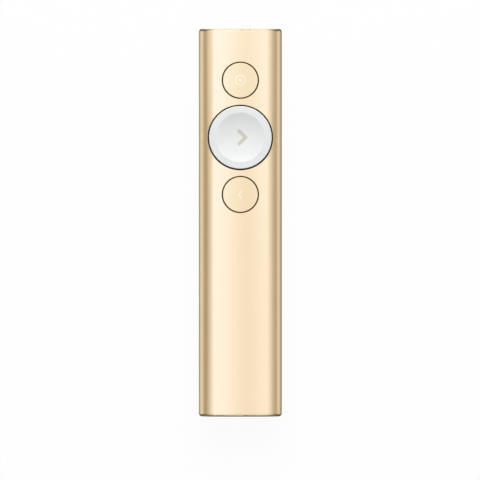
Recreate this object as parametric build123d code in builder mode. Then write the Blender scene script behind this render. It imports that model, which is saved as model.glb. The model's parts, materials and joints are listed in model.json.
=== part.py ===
"""A wireless presentation clicker: an aluminium sleeve slid over a plastic chassis.

Three buttons stand in the front of the sleeve.  A USB receiver is docked in the tail, above the charging port.
Dimensions are in millimetres.  X runs across the width, Y along the length towards the nose and Z up through the
buttons.  The origin is the middle of the flat back, which rests on the table.
"""

import os
from dataclasses import dataclass
from math import sqrt

from build123d import *

# ------------------------------------------------------------------------------------------------ body section
LENGTH = 131.3
WIDTH = 28.1
THICKNESS = 12.1
CROWN_RADIUS = 70.0  # the front is gently crowned across its width
WALL = 1.0  # sleeve wall
END_ROUND = 1.1  # rounding of the sleeve's outer end edges
HOLE_EDGE = 0.12  # broken edge round each button hole

NOSE_Y = LENGTH / 2
TAIL_Y = -LENGTH / 2

# One radius joins the crown to the flat back, tangent to both and to the body's full width.
_B = 2 * (CROWN_RADIUS - THICKNESS) + 2 * CROWN_RADIUS - WIDTH
_C = (WIDTH / 2) ** 2 + (CROWN_RADIUS - THICKNESS) ** 2 - CROWN_RADIUS**2
SIDE_RADIUS = (sqrt(_B**2 - 4 * _C) - _B) / 2
SIDE_X = WIDTH / 2 - SIDE_RADIUS  # centre of each round side

# ------------------------------------------------------------------------------------------------ fits and skins
SLIDE_FIT = 0.1  # chassis and frame inside the sleeve
CAP_FIT = 0.05  # end pieces inside the sleeve
END_RECESS = 0.25  # how far the end faces sit inside the sleeve's ends
CHASSIS_OUT = WALL + SLIDE_FIT
CHASSIS_IN = CHASSIS_OUT + 0.9
FRAME_IN = CHASSIS_OUT + 0.8
CHASSIS_NOSE_Y = 58.4
CHASSIS_TAIL_Y = -61.7
RIM_Z = 7.0  # where the button frame stands on the chassis walls
FLOOR_Z = CHASSIS_IN
CHANNEL_Z = 1.7  # floor of the ribbon's channel in the chassis
CHANNEL_HALF = 3.0

# ------------------------------------------------------------------------------------------------ main board
BOARD_THICK = 0.8
BOARD_Z = 5.0  # underside
BOARD_TOP = BOARD_Z + BOARD_THICK
BOARD_HALF = 10.5
BOARD_NOSE_Y = 61.0
BOARD_TAIL_Y = -1.5
BOARD_POSTS = [(-8.6, 56.0), (8.6, 56.0), (-8.6, 0.6), (8.6, 0.6)]

# ------------------------------------------------------------------------------------------------ buttons
CAP_UNDERSIDE = 10.25
SHELF_Z = 9.7  # top of each guide bore
COLLAR_Z = 8.4  # underside of each guide collar
COLLAR_WALL = 0.9
FLANGE_TOP = 8.35
FLANGE_THICK = 0.5
FLANGE_REACH = 0.85  # how far the flange stands out from the guided wall
GUIDE_FIT = 0.15
PLATE_THICK = 0.8
STEM_TOP = BOARD_TOP + 2.0


@dataclass(frozen=True)
class Button:
    """One button's own sizes; everything else about it follows from these."""

    name: str
    y: float
    cap_radius: float
    gap: float  # between the cap and its hole
    proud: float  # how far the cap stands above the sleeve
    edge_round: float  # rounding of the cap's top edge
    skirt: float  # wall of the carrier's skirt
    post_radius: float
    ring_inner: float  # silicone return ring under the carrier
    ring_outer: float

    @property
    def hole_radius(self):
        return self.cap_radius + self.gap

    @property
    def bore_radius(self):
        return self.cap_radius - self.gap

    @property
    def guide_radius(self):
        return self.bore_radius - GUIDE_FIT


POINTER = Button("pointer", 48.15, 5.9, 0.35, 0.15, 0.12, 0.8, 1.4, 4.5, 5.3)
NEXT = Button("next", 28.8, 10.6, 0.45, 0.3, 0.2, 1.0, 2.0, 9.1, 10.0)
BACK = Button("back", 9.5, 5.9, 0.35, 0.15, 0.12, 0.8, 1.4, 4.5, 5.3)
BUTTONS = (POINTER, NEXT, BACK)

DISH_DEPTH = 1.2  # the dish in the next button, at its middle
DISH_RADIUS_Y = 29.9
DISH_RADIUS_X = 47.7  # shallower across the crown, so that the dish's rim is nearly round
MARK_DEPTH = 0.3  # the chevron let into that dish
ETCH_DEPTH = 0.08  # the marks etched into the two small caps

# ------------------------------------------------------------------------------------------------ tail
PORT_Z = 3.35  # centre of the charging socket
PORT_WIDTH = 8.94
PORT_HEIGHT = 3.2
PORT_WALL = 0.3
PORT_MOUTH_Y = -65.2
PORT_LENGTH = 7.3
PORT_BACK_Y = PORT_MOUTH_Y + PORT_LENGTH
TAIL_SCREW_X = 9.6
TAIL_SCREW_Z = 7.2
BEZEL_FLOOR_Y = -63.4  # floor of the receiver head's pocket
USB_BOARD_Z = 2.9
USB_BOARD_HALF = 6.4
USB_BOARD_NOSE_Y = -47.0
USB_BOARD_TAIL_Y = -61.5
USB_POSTS = [(-5.2, -49.6), (5.2, -49.6)]

# ------------------------------------------------------------------------------------------------ receiver and bay
RECEIVER_Z = 7.65  # centre height of the receiver and of its bay
RECEIVER_HEIGHT = 4.5
RECEIVER_HALF = 7.2
PLUG_HALF = 6.0
PLUG_WALL = 0.3
PLUG_NOSE_Y = -27.4
CASE_NOSE_Y = -39.6
HEAD_WIDTH = 21.1
HEAD_TAIL_Y = -65.35
HEAD_BACK_Y = -63.45
BAY_GAP = 0.15
BAY_HEIGHT = RECEIVER_HEIGHT + 0.1
BAY_FLOOR_Z = RECEIVER_Z - BAY_HEIGHT / 2
BAY_ROOF_Z = RECEIVER_Z + BAY_HEIGHT / 2
BAY_HALF = RECEIVER_HALF + BAY_GAP
BAY_STEP_Y = CASE_NOSE_Y + 0.3
BAY_END_Y = PLUG_NOSE_Y + 0.4
DOCK_Z = 4.95
DOCK_HALF = 8.2
DOCK_END_Y = -26.2
SPRING_Y = -47.0  # crest of each leaf spring
SPRING_HALF = 4.6
SPRING_THICK = 0.2

# ------------------------------------------------------------------------------------------------ motor and battery
MOTOR_Y = 22.0
MOTOR_RADIUS = 4.0
MOTOR_Z = 2.15
MOTOR_TOP = 4.75
BATTERY_NOSE_Y = -4.6
BATTERY_TAIL_Y = -25.6
BATTERY_Z = 2.2
BATTERY_TOP = 7.7
BATTERY_HALF = 9.0


# ================================================================================================ shared shapes
def across(y):
    """The plane across the body at y: X across, Z up, its normal towards the tail."""
    return Plane((0, y, 0), x_dir=(1, 0, 0), z_dir=(0, -1, 0))


def slug(inset, nose_y=NOSE_Y + 1, tail_y=TAIL_Y - 1):
    """A solid length of the body's section, drawn `inset` inside the skin, from nose_y back to tail_y."""
    crown = CROWN_RADIUS - inset
    side = SIDE_RADIUS - inset
    tangent_x = crown * SIDE_X / (CROWN_RADIUS - SIDE_RADIUS)
    tangent_z = THICKNESS - CROWN_RADIUS + sqrt(crown**2 - tangent_x**2)
    with BuildPart(mode=Mode.PRIVATE) as made:
        with BuildSketch(across(nose_y)):
            with BuildLine():
                front = ThreePointArc((-tangent_x, tangent_z), (0, THICKNESS - inset), (tangent_x, tangent_z))
                right = ThreePointArc(front @ 1, (SIDE_X + side, SIDE_RADIUS), (SIDE_X, inset))
                back = Line(right @ 1, (-SIDE_X, inset))
                ThreePointArc(back @ 1, (-SIDE_X - side, SIDE_RADIUS), front @ 0)
            make_face()
        extrude(amount=nose_y - tail_y)
    return made.part


def block(x, y, z, mode=Mode.ADD):
    """A box given by a (low, high) pair for each axis; a pair may be given either way round."""
    spans = [sorted(pair) for pair in (x, y, z)]
    with Locations(tuple((low + high) / 2 for low, high in spans)):
        Box(*(high - low for low, high in spans), mode=mode)


def disc(x, y, radius, low, high, mode=Mode.ADD):
    """An upright cylinder at x, y from height low to height high."""
    with Locations((x, y, low)):
        Cylinder(radius, high - low, align=(Align.CENTER, Align.CENTER, Align.MIN), mode=mode)


def rod(x, z, radius, nose_y, tail_y, mode=Mode.ADD):
    """A cylinder that lies along the body's length, from nose_y back to tail_y."""
    with BuildSketch(across(nose_y), mode=Mode.PRIVATE) as outline:
        with Locations((x, z)):
            Circle(radius)
    extrude(outline.sketch, amount=nose_y - tail_y, mode=mode)


def end_slot(z, width, height, nose_y, tail_y, mode=Mode.ADD):
    """A round-ended bar on the centre line, from nose_y back to tail_y."""
    with BuildSketch(across(nose_y), mode=Mode.PRIVATE) as outline:
        with Locations((0, z)):
            SlotOverall(width, height)
    extrude(outline.sketch, amount=nose_y - tail_y, mode=mode)


def screw(head_radius, head_height, shank_radius, shank_length):
    """A cross-recessed pan-head screw that points down, with the underside of its head at the origin."""
    with BuildPart(mode=Mode.PRIVATE) as made:
        disc(0, 0, head_radius, 0, head_height)
        fillet(faces().sort_by(Axis.Z)[-1].edges(), 0.3 * head_height)
        disc(0, 0, shank_radius, -shank_length, 0)
        chamfer(faces().sort_by(Axis.Z)[0].edges(), 0.4 * shank_radius)
        narrow = (-0.175 * head_radius, 0.175 * head_radius)
        wide = (-0.6 * head_radius, 0.6 * head_radius)
        recess_z = (0.45 * head_height, head_height)
        block(wide, narrow, recess_z, mode=Mode.SUBTRACT)
        block(narrow, wide, recess_z, mode=Mode.SUBTRACT)
    return made.part


def save(made, label):
    """Labels a finished piece and writes it to its own file."""
    made.part.label = label
    export_step(made.part, f"parts/{label}.step")


os.makedirs("parts", exist_ok=True)


# ================================================================================================ sleeve
LATCH_Z = 5.8
NOSE_LATCH_Y = 60.5
SIDE_LATCH_Y = -40.8
LATCH_LENGTH = 1.8
LATCH_HEIGHT = 3.2
LATCH_DEPTH = 0.4
BARB_REACH = 0.3


def on_hole_rim(edge):
    """True for an edge of the outer skin that runs round a button hole."""
    here = edge @ 0.5
    inner_skin = THICKNESS - CROWN_RADIUS + sqrt((CROWN_RADIUS - WALL) ** 2 - here.X**2)
    away = [abs(sqrt(here.X**2 + (here.Y - button.y) ** 2) - button.hole_radius) for button in BUTTONS]
    return min(away) < 0.01 and here.Z > inner_skin + 0.02


with BuildPart() as body_sleeve:
    add(slug(0, NOSE_Y, TAIL_Y))
    fillet(faces().filter_by(Axis.Y).edges(), END_ROUND)
    add(slug(WALL), mode=Mode.SUBTRACT)
    for button in BUTTONS:
        disc(0, button.y, button.hole_radius, THICKNESS / 2, THICKNESS + 1, mode=Mode.SUBTRACT)
    notch_x = WIDTH / 2 - WALL
    with Locations([(side * notch_x, y, LATCH_Z) for side in (-1, 1) for y in (NOSE_LATCH_Y, SIDE_LATCH_Y)]):
        Box(2 * LATCH_DEPTH, LATCH_LENGTH, LATCH_HEIGHT, mode=Mode.SUBTRACT)
    chamfer(edges().filter_by(on_hole_rim), HOLE_EDGE)
save(body_sleeve, "body_sleeve")


# ================================================================================================ nose end
CAP_OUT = WALL + CAP_FIT
CAP_IN = CAP_OUT + 0.9
CAP_FACE_Y = NOSE_Y - END_RECESS
CAP_BACK_Y = CAP_FACE_Y - 1.6
CAP_SKIRT_Y = 61.6
LIGHT_Z = 6.2
LIGHT_RADIUS = 0.9
ARM_OUT_X = WIDTH / 2 - CAP_OUT - CAP_FIT
ARM_THICK = 1.0
ARM_HALF_HEIGHT = 1.5
ARM_END_Y = 58.6


def barb(side, root_x, toe_y, heel_y, half_height):
    """A latch barb on the outside of a wall: full reach at its heel, tapering to nothing at its toe."""
    with BuildPart(mode=Mode.PRIVATE) as made:
        with BuildSketch(Plane.XY.offset(LATCH_Z - half_height)):
            with BuildLine():
                Polyline(
                    (side * (root_x - 0.4), heel_y),
                    (side * (root_x + BARB_REACH), heel_y),
                    (side * root_x, toe_y),
                    (side * (root_x - 0.4), toe_y),
                    close=True,
                )
            make_face()
        extrude(amount=2 * half_height)
    return made.part


with BuildPart(mode=Mode.PRIVATE) as nose_arms:
    for side in (-1, 1):
        block(
            (side * (ARM_OUT_X - ARM_THICK), side * ARM_OUT_X),
            (ARM_END_Y, CAP_BACK_Y + 0.3),
            (LATCH_Z - ARM_HALF_HEIGHT, LATCH_Z + ARM_HALF_HEIGHT),
        )
    add(slug(CAP_OUT + CAP_FIT), mode=Mode.INTERSECT)

with BuildPart() as nose_cap:
    add(slug(CAP_OUT, CAP_FACE_Y, CAP_SKIRT_Y))
    fillet(faces().sort_by(Axis.Y)[-1].edges(), 0.2)
    add(slug(CAP_IN, CAP_BACK_Y), mode=Mode.SUBTRACT)
    add(nose_arms.part)
    for side in (-1, 1):
        add(barb(side, ARM_OUT_X, NOSE_LATCH_Y - 0.75, NOSE_LATCH_Y + 0.75, ARM_HALF_HEIGHT - 0.3))
    rod(0, LIGHT_Z, LIGHT_RADIUS + 0.02, NOSE_Y, CAP_BACK_Y - 1, mode=Mode.SUBTRACT)
save(nose_cap, "nose_cap")

with BuildPart() as light_pipe:
    rod(0, LIGHT_Z, LIGHT_RADIUS, CAP_FACE_Y, 61.3)
    fillet(faces().sort_by(Axis.Y)[-1].edges(), 0.15)
    rod(0, LIGHT_Z, 1.5, CAP_BACK_Y, CAP_BACK_Y - 0.5)
save(light_pipe, "light_pipe")


# ================================================================================================ chassis
POST_RADIUS = 1.5
USB_POST_RADIUS = 1.3
SEAT_WALL = 0.75
BOSS_RADIUS = 1.35
BOSS_NOSE_Y = -54.0
RIB_THICK = 1.2
LEDGE_YS = (-29.5, -45.5, -52.0, -59.5)
FIRST_FLOOR = CHASSIS_OUT + 0.3  # features start inside the floor's thickness

with BuildPart(mode=Mode.PRIVATE) as chassis_features:
    for x, y in BOARD_POSTS:
        disc(x, y, POST_RADIUS, FIRST_FLOOR, BOARD_Z)
    for x, y in USB_POSTS:
        disc(x, y, USB_POST_RADIUS, FIRST_FLOOR, USB_BOARD_Z)
    disc(0, MOTOR_Y, MOTOR_RADIUS + 0.05 + SEAT_WALL, FIRST_FLOOR, FLOOR_Z + 1.2)
    disc(0, MOTOR_Y, MOTOR_RADIUS + 0.05, FLOOR_Z, BOARD_Z, mode=Mode.SUBTRACT)
    # Cross ribs at both ends of the battery.
    for y in (BATTERY_NOSE_Y + 2.2, BATTERY_TAIL_Y - 0.8):
        block((-WIDTH / 2, WIDTH / 2), (y - RIB_THICK / 2, y + RIB_THICK / 2), (FIRST_FLOOR, 3.6))
    # Ledges that carry the receiver's dock.
    for y in LEDGE_YS:
        for side in (-1, 1):
            block((side * 7.0, side * WIDTH / 2), (y - RIB_THICK / 2, y + RIB_THICK / 2), (FIRST_FLOOR, DOCK_Z))
    # Bosses for the tail bezel's screws, each on a web from the wall.
    for side in (-1, 1):
        rod(side * TAIL_SCREW_X, TAIL_SCREW_Z, BOSS_RADIUS, BOSS_NOSE_Y, CHASSIS_TAIL_Y)
        block((side * TAIL_SCREW_X, side * WIDTH / 2), (CHASSIS_TAIL_Y, BOSS_NOSE_Y), (5.9, RIM_Z))
    add(slug(CHASSIS_OUT + 0.2), mode=Mode.INTERSECT)

with BuildPart() as chassis:
    add(slug(CHASSIS_OUT, CHASSIS_NOSE_Y, CHASSIS_TAIL_Y))
    add(slug(CHASSIS_IN), mode=Mode.SUBTRACT)
    block((-WIDTH, WIDTH), (-LENGTH, LENGTH), (RIM_Z, 2 * THICKNESS), mode=Mode.SUBTRACT)
    add(chassis_features.part)
    # Channel for the ribbon, wider under the charging socket, and the way out for the motor's tail.
    channel_y = (CHASSIS_TAIL_Y - 1, BATTERY_NOSE_Y + 8)
    block((-CHANNEL_HALF, CHANNEL_HALF), channel_y, (CHANNEL_Z, 4.2), mode=Mode.SUBTRACT)
    block((-5.0, 5.0), (CHASSIS_TAIL_Y - 1, PORT_BACK_Y + 0.5), (CHANNEL_Z, 4.2), mode=Mode.SUBTRACT)
    block((-1.7, 1.7), (MOTOR_Y - 6, MOTOR_Y - 3), (FLOOR_Z, 4.2), mode=Mode.SUBTRACT)
    for x, y in BOARD_POSTS:
        disc(x, y, 0.55, FLOOR_Z + 0.3, BOARD_Z + 1, mode=Mode.SUBTRACT)
    for x, y in USB_POSTS:
        disc(x, y, 0.45, FIRST_FLOOR, USB_BOARD_Z + 1, mode=Mode.SUBTRACT)
    # Each latch tongue is cut free on three sides, and its barb springs into the sleeve's notch.
    for side in (-1, 1):
        rod(side * TAIL_SCREW_X, TAIL_SCREW_Z, 0.55, BOSS_NOSE_Y - 0.6, CHASSIS_TAIL_Y - 1, mode=Mode.SUBTRACT)
        wall_x = (side * (WIDTH / 2 - CHASSIS_OUT - 2.5), side * WIDTH / 2)
        for z in (LATCH_Z - 1.5, RIM_Z - 0.2):
            block(wall_x, (-42.6, -39.0 + 5.0), (z - 0.2, z + 0.2), mode=Mode.SUBTRACT)
        block(wall_x, (-42.8, -42.4), (LATCH_Z - 1.7, RIM_Z), mode=Mode.SUBTRACT)
        add(barb(side, WIDTH / 2 - CHASSIS_OUT, SIDE_LATCH_Y - 0.75, SIDE_LATCH_Y + 0.75, 0.8))
save(chassis, "chassis")


# ================================================================================================ button frame
FRAME_TAIL_Y = 0.5

with BuildPart(mode=Mode.PRIVATE) as collars:
    for button in BUTTONS:
        disc(0, button.y, button.hole_radius + COLLAR_WALL, COLLAR_Z, THICKNESS)
    add(slug(CHASSIS_OUT, CHASSIS_NOSE_Y, FRAME_TAIL_Y), mode=Mode.INTERSECT)

with BuildPart() as button_frame:
    add(slug(CHASSIS_OUT, CHASSIS_NOSE_Y, FRAME_TAIL_Y))
    add(slug(FRAME_IN), mode=Mode.SUBTRACT)
    block((-WIDTH, WIDTH), (-LENGTH, LENGTH), (-1, RIM_Z), mode=Mode.SUBTRACT)
    add(collars.part)
    for button in BUTTONS:
        disc(0, button.y, button.hole_radius, SHELF_Z, THICKNESS, mode=Mode.SUBTRACT)
        disc(0, button.y, button.bore_radius, COLLAR_Z - 1, THICKNESS, mode=Mode.SUBTRACT)
save(button_frame, "button_frame")


# ================================================================================================ button caps
def chevron(reach, height, stroke):
    """Outline points of a chevron whose centre line runs from (0, height / 2) to (reach, 0) and back to the left."""
    rise = height / 2
    arm = sqrt(reach**2 + rise**2)
    across_x, across_y = stroke / 2 * rise / arm, stroke / 2 * reach / arm
    corner = stroke / 2 * arm / rise
    return [
        (across_x, rise + across_y),
        (reach + corner, 0),
        (across_x, -rise - across_y),
        (-across_x, across_y - rise),
        (reach - corner, 0),
        (-across_x, rise - across_y),
    ]


def cap_blank(button):
    """A cap that fills its hole, crowned to match the sleeve and standing a little proud of it."""
    with BuildPart(mode=Mode.PRIVATE) as made:
        disc(0, button.y, button.cap_radius, CAP_UNDERSIDE, THICKNESS + 2)
        add(slug(-button.proud), mode=Mode.INTERSECT)
        fillet(faces().sort_by(Axis.Z)[-1].edges(), button.edge_round)
    return made.part


def etch(button, marks):
    """The thin layer of each mark that is etched out of a small cap's crown."""
    with BuildPart(mode=Mode.PRIVATE) as made:
        extrude(marks, amount=5)
        add(slug(ETCH_DEPTH - button.proud), mode=Mode.SUBTRACT)
    return made.part


with BuildSketch(Plane.XY.offset(CAP_UNDERSIDE), mode=Mode.PRIVATE) as pointer_marks:
    with Locations((0, POINTER.y)):
        Circle(1.85)
        Circle(1.4, mode=Mode.SUBTRACT)
        Circle(0.55)

with BuildSketch(Plane.XY.offset(CAP_UNDERSIDE), mode=Mode.PRIVATE) as back_marks:
    with Locations(Location((0.45, BACK.y), 180)):
        Polygon(*chevron(0.85, 2.9, 0.42), align=None)

for button, marks in ((POINTER, pointer_marks), (BACK, back_marks)):
    with BuildPart() as small_cap:
        add(cap_blank(button))
        add(etch(button, marks.sketch), mode=Mode.SUBTRACT)
    save(small_cap, f"{button.name}_button")


def dish(deeper=0.0):
    """The barrel-shaped tool that cuts the dish, or a parallel surface that lies deeper in the cap."""
    bottom = THICKNESS + NEXT.proud - DISH_DEPTH - deeper
    axle_z = THICKNESS + NEXT.proud - DISH_DEPTH + DISH_RADIUS_Y
    half = NEXT.cap_radius + 1
    end_z = bottom + DISH_RADIUS_X + deeper - sqrt((DISH_RADIUS_X + deeper) ** 2 - half**2)
    with BuildPart(mode=Mode.PRIVATE) as made:
        with BuildSketch(across(NEXT.y)):
            with BuildLine():
                ThreePointArc((-half, end_z), (0, bottom), (half, end_z))
                Polyline((half, end_z), (half, axle_z), (-half, axle_z), (-half, end_z))
            make_face()
        revolve(axis=Axis((0, NEXT.y, axle_z), (1, 0, 0)))
    return made.part


with BuildPart(mode=Mode.PRIVATE) as next_chevron:
    with BuildSketch(Plane.XY.offset(CAP_UNDERSIDE)):
        with Locations((-0.75, NEXT.y)):
            Polygon(*chevron(2.45, 5.0, 1.15), align=None)
    extrude(amount=3)
    add(dish(MARK_DEPTH), mode=Mode.INTERSECT)

with BuildPart() as next_button:
    add(cap_blank(NEXT))
    add(dish(), mode=Mode.SUBTRACT)
    add(next_chevron.part, mode=Mode.SUBTRACT)
save(next_button, "next_button")

with BuildPart() as next_button_mark:
    add(next_chevron.part)
    add(dish(0.03), mode=Mode.SUBTRACT)
save(next_button_mark, "next_button_mark")


# ================================================================================================ button works
SWITCH_SIZE = 4.5
SWITCH_HEIGHT = 1.5
SWITCH_FLOOR = BOARD_TOP + 0.4
SWITCH_ROOF = BOARD_TOP + 1.3
CAVITY_RADIUS = 1.8
STEM_RADIUS = 1.0
STEM_FLANGE_RADIUS = 1.6
STEM_FLANGE_Z = BOARD_TOP + 1.0
DOME_RADIUS = 1.7
DOME_THICK = 0.08
DOME_RISE = STEM_FLANGE_Z - SWITCH_FLOOR
DOME_SPHERE = (DOME_RADIUS**2 + DOME_RISE**2) / (2 * DOME_RISE)

for button in BUTTONS:
    flange_z = FLANGE_TOP - FLANGE_THICK

    with BuildPart() as carrier:
        disc(0, button.y, button.guide_radius, flange_z, CAP_UNDERSIDE)
        disc(0, button.y, button.guide_radius + FLANGE_REACH, flange_z, FLANGE_TOP)
        inside_skirt = button.guide_radius - button.skirt
        disc(0, button.y, inside_skirt, flange_z, CAP_UNDERSIDE - PLATE_THICK, mode=Mode.SUBTRACT)
        disc(0, button.y, button.post_radius, STEM_TOP, CAP_UNDERSIDE)
    save(carrier, f"{button.name}_carrier")

    with BuildPart() as return_ring:
        disc(0, button.y, button.ring_outer, BOARD_TOP, flange_z)
        disc(0, button.y, button.ring_inner, BOARD_TOP, flange_z, mode=Mode.SUBTRACT)
    save(return_ring, f"{button.name}_return_ring")

    with BuildPart() as switch_body:
        half = SWITCH_SIZE / 2
        block((-half, half), (button.y - half, button.y + half), (BOARD_TOP, BOARD_TOP + SWITCH_HEIGHT))
        chamfer(edges().filter_by(Axis.Z), 0.3)
        disc(0, button.y, CAVITY_RADIUS, SWITCH_FLOOR, SWITCH_ROOF, mode=Mode.SUBTRACT)
        disc(0, button.y, STEM_RADIUS + 0.05, SWITCH_ROOF, BOARD_TOP + 3, mode=Mode.SUBTRACT)
    save(switch_body, f"{button.name}_switch_body")

    with BuildPart() as switch_stem:
        disc(0, button.y, STEM_FLANGE_RADIUS, STEM_FLANGE_Z, SWITCH_ROOF - 0.02)
        disc(0, button.y, STEM_RADIUS, STEM_FLANGE_Z, STEM_TOP)
    save(switch_stem, f"{button.name}_switch_stem")

    with BuildPart() as snap_dome:
        with Locations((0, button.y, STEM_FLANGE_Z - DOME_SPHERE)):
            Sphere(DOME_SPHERE)
            Sphere(DOME_SPHERE - DOME_THICK, mode=Mode.SUBTRACT)
        disc(0, button.y, DOME_RADIUS + 0.05, SWITCH_FLOOR, STEM_FLANGE_Z + 0.1, mode=Mode.INTERSECT)
    save(snap_dome, f"{button.name}_snap_dome")


# ================================================================================================ electronics
with BuildPart() as main_board:
    block((-BOARD_HALF, BOARD_HALF), (BOARD_TAIL_Y, BOARD_NOSE_Y), (BOARD_Z, BOARD_TOP))
    fillet(edges().filter_by(Axis.Z), 1.0)
    for x, y in BOARD_POSTS:
        disc(x, y, 0.7, BOARD_Z - 1, BOARD_TOP + 1, mode=Mode.SUBTRACT)
save(main_board, "main_board")

with BuildPart() as board_screws:
    for x, y in BOARD_POSTS:
        add(screw(1.3, 0.9, 0.55, 3.2).moved(Location((x, y, BOARD_TOP))))
save(board_screws, "board_screws")

with BuildPart() as status_led:
    block((-0.8, 0.8), (60.1, 60.9), (BOARD_TOP, BOARD_TOP + 0.8))
save(status_led, "status_led")

with BuildPart() as antenna:
    block((3.0, 10.0), (58.2, 60.2), (BOARD_TOP, BOARD_TOP + 1.0))
save(antenna, "antenna")

with BuildPart() as rf_shield:
    block((-6.8, 6.8), (41.0, 55.0), (3.4, BOARD_Z))
    fillet(edges().filter_by(Axis.Z), 0.6)
    offset(amount=-0.2, openings=faces().sort_by(Axis.Z)[-1])
save(rf_shield, "rf_shield")

with BuildPart() as controller_chip:
    block((-3.0, 3.0), (45.0, 51.0), (BOARD_Z - 0.9, BOARD_Z))
save(controller_chip, "controller_chip")

with BuildPart() as motion_sensor:
    block((-1.5, 1.5), (34.8, 37.2), (BOARD_Z - 0.9, BOARD_Z))
save(motion_sensor, "motion_sensor")

with BuildPart() as board_passives:
    chips = [(x, y, BOARD_Z - 0.25) for x in (-5.6, -4.6, 4.6, 5.6) for y in (44.0, 46.5, 49.0, 51.5)]
    with Locations(chips):
        Box(0.5, 1.0, 0.5)
save(board_passives, "board_passives")

TAIL_STRIP = 0.2

with BuildPart() as motor_base:
    disc(0, MOTOR_Y, MOTOR_RADIUS, MOTOR_Z, MOTOR_Z + TAIL_STRIP)
    block((-1.4, 1.4), (MOTOR_Y - 5.4, MOTOR_Y - 3), (MOTOR_Z, MOTOR_Z + TAIL_STRIP))
    block((-1.4, 1.4), (MOTOR_Y - 5.4, MOTOR_Y - 5.4 + TAIL_STRIP), (MOTOR_Z, BOARD_Z))
save(motor_base, "motor_base")

with BuildPart() as motor_case:
    disc(0, MOTOR_Y, MOTOR_RADIUS, MOTOR_Z + TAIL_STRIP, MOTOR_TOP)
    fillet(faces().sort_by(Axis.Z)[-1].edges(), 0.3)
    disc(0, MOTOR_Y, MOTOR_RADIUS - 0.2, MOTOR_Z, MOTOR_TOP - 0.2, mode=Mode.SUBTRACT)
save(motor_case, "motor_case")

with BuildPart() as motor_shaft:
    disc(0, MOTOR_Y, 0.4, MOTOR_Z + TAIL_STRIP, MOTOR_TOP - 0.2)
save(motor_shaft, "motor_shaft")

with BuildPart() as motor_magnet:
    disc(0, MOTOR_Y, 3.4, MOTOR_Z + TAIL_STRIP, 2.85)
    disc(0, MOTOR_Y, 1.5, MOTOR_Z + TAIL_STRIP, 2.85, mode=Mode.SUBTRACT)
save(motor_magnet, "motor_magnet")

with BuildPart() as motor_rotor:
    disc(0, MOTOR_Y, 3.5, 3.05, 4.35)
    block((-5, 5), (MOTOR_Y - 5, MOTOR_Y), (0, 6), mode=Mode.SUBTRACT)
    disc(0, MOTOR_Y, 1.0, 2.6, 4.4)
    disc(0, MOTOR_Y, 0.45, 0, 6, mode=Mode.SUBTRACT)
save(motor_rotor, "motor_rotor")

with BuildPart() as adhesive_pads:
    disc(0, MOTOR_Y, MOTOR_RADIUS - 0.2, FLOOR_Z, MOTOR_Z)
    for side in (-1, 1):
        block((side * 3.3, side * 8.0), (BATTERY_TAIL_Y + 2, BATTERY_NOSE_Y - 2), (FLOOR_Z, BATTERY_Z))
save(adhesive_pads, "adhesive_pads")


# ================================================================================================ battery
LEAD_RADIUS = 0.3
LEAD_Z = BOARD_TOP + 0.65
LEAD_BENDS = (2.0, 3.0)
CIRCUIT_NOSE_Y = BATTERY_NOSE_Y + 1.1
SOCKET_X = (1.6, 4.6)
SOCKET_Y = (-1.3, 1.7)
SOCKET_HEIGHT = 1.4
SOCKET_WALL = 0.2
PLUG_FIT = 0.05

with BuildPart() as battery_cell:
    block((-BATTERY_HALF, BATTERY_HALF), (BATTERY_TAIL_Y, BATTERY_NOSE_Y), (BATTERY_Z, BATTERY_TOP))
    fillet(edges().filter_by(Axis.Y), 1.2)
    fillet(faces().filter_by(Axis.Y).edges(), 0.4)
save(battery_cell, "battery_cell")

with BuildPart() as battery_circuit:
    block((-7.5, 7.5), (BATTERY_NOSE_Y, BATTERY_NOSE_Y + 1.1), (3.0, 7.2))
save(battery_circuit, "battery_circuit")

with BuildPart() as battery_socket:
    block(SOCKET_X, SOCKET_Y, (BOARD_TOP, BOARD_TOP + SOCKET_HEIGHT))
    block(
        (SOCKET_X[0] - 1, SOCKET_X[1] - 0.5),
        (SOCKET_Y[0] + 0.3, SOCKET_Y[1] - 0.3),
        (BOARD_TOP + SOCKET_WALL, BOARD_TOP + SOCKET_HEIGHT - SOCKET_WALL),
        mode=Mode.SUBTRACT,
    )
save(battery_socket, "battery_socket")

with BuildPart() as battery_plug:
    block(
        (SOCKET_X[0] - 1, SOCKET_X[1] - 0.6),
        (SOCKET_Y[0] + 0.3 + PLUG_FIT, SOCKET_Y[1] - 0.3 - PLUG_FIT),
        (BOARD_TOP + SOCKET_WALL + PLUG_FIT, BOARD_TOP + SOCKET_HEIGHT - SOCKET_WALL - PLUG_FIT),
    )
save(battery_plug, "battery_plug")

with BuildPart() as battery_leads:
    for bend in LEAD_BENDS:
        start_x = SOCKET_X[0] - 4.6 - bend
        start_y = CIRCUIT_NOSE_Y
        run_y = start_y + 0.3 + bend
        with BuildLine() as route:
            FilletPolyline(
                (start_x, start_y, LEAD_Z),
                (start_x, run_y, LEAD_Z),
                (SOCKET_X[0] - 1, run_y, LEAD_Z),
                radius=bend,
            )
        with BuildSketch(Plane((start_x, start_y, LEAD_Z), z_dir=(0, 1, 0))):
            Circle(LEAD_RADIUS)
        sweep(path=route.line)
save(battery_leads, "battery_leads")


# ================================================================================================ tail electronics
RIBBON_HALF = 2.5
RIBBON_THICK = 0.12
RIBBON_ROUTE = [
    (2.0, 4.3),
    (-0.8, 4.3),
    (-2.4, 1.86),
    (USB_BOARD_NOSE_Y + 1.2, 1.86),
    (USB_BOARD_NOSE_Y - 0.4, 2.4),
    (-49.4, 2.4),
]

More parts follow.
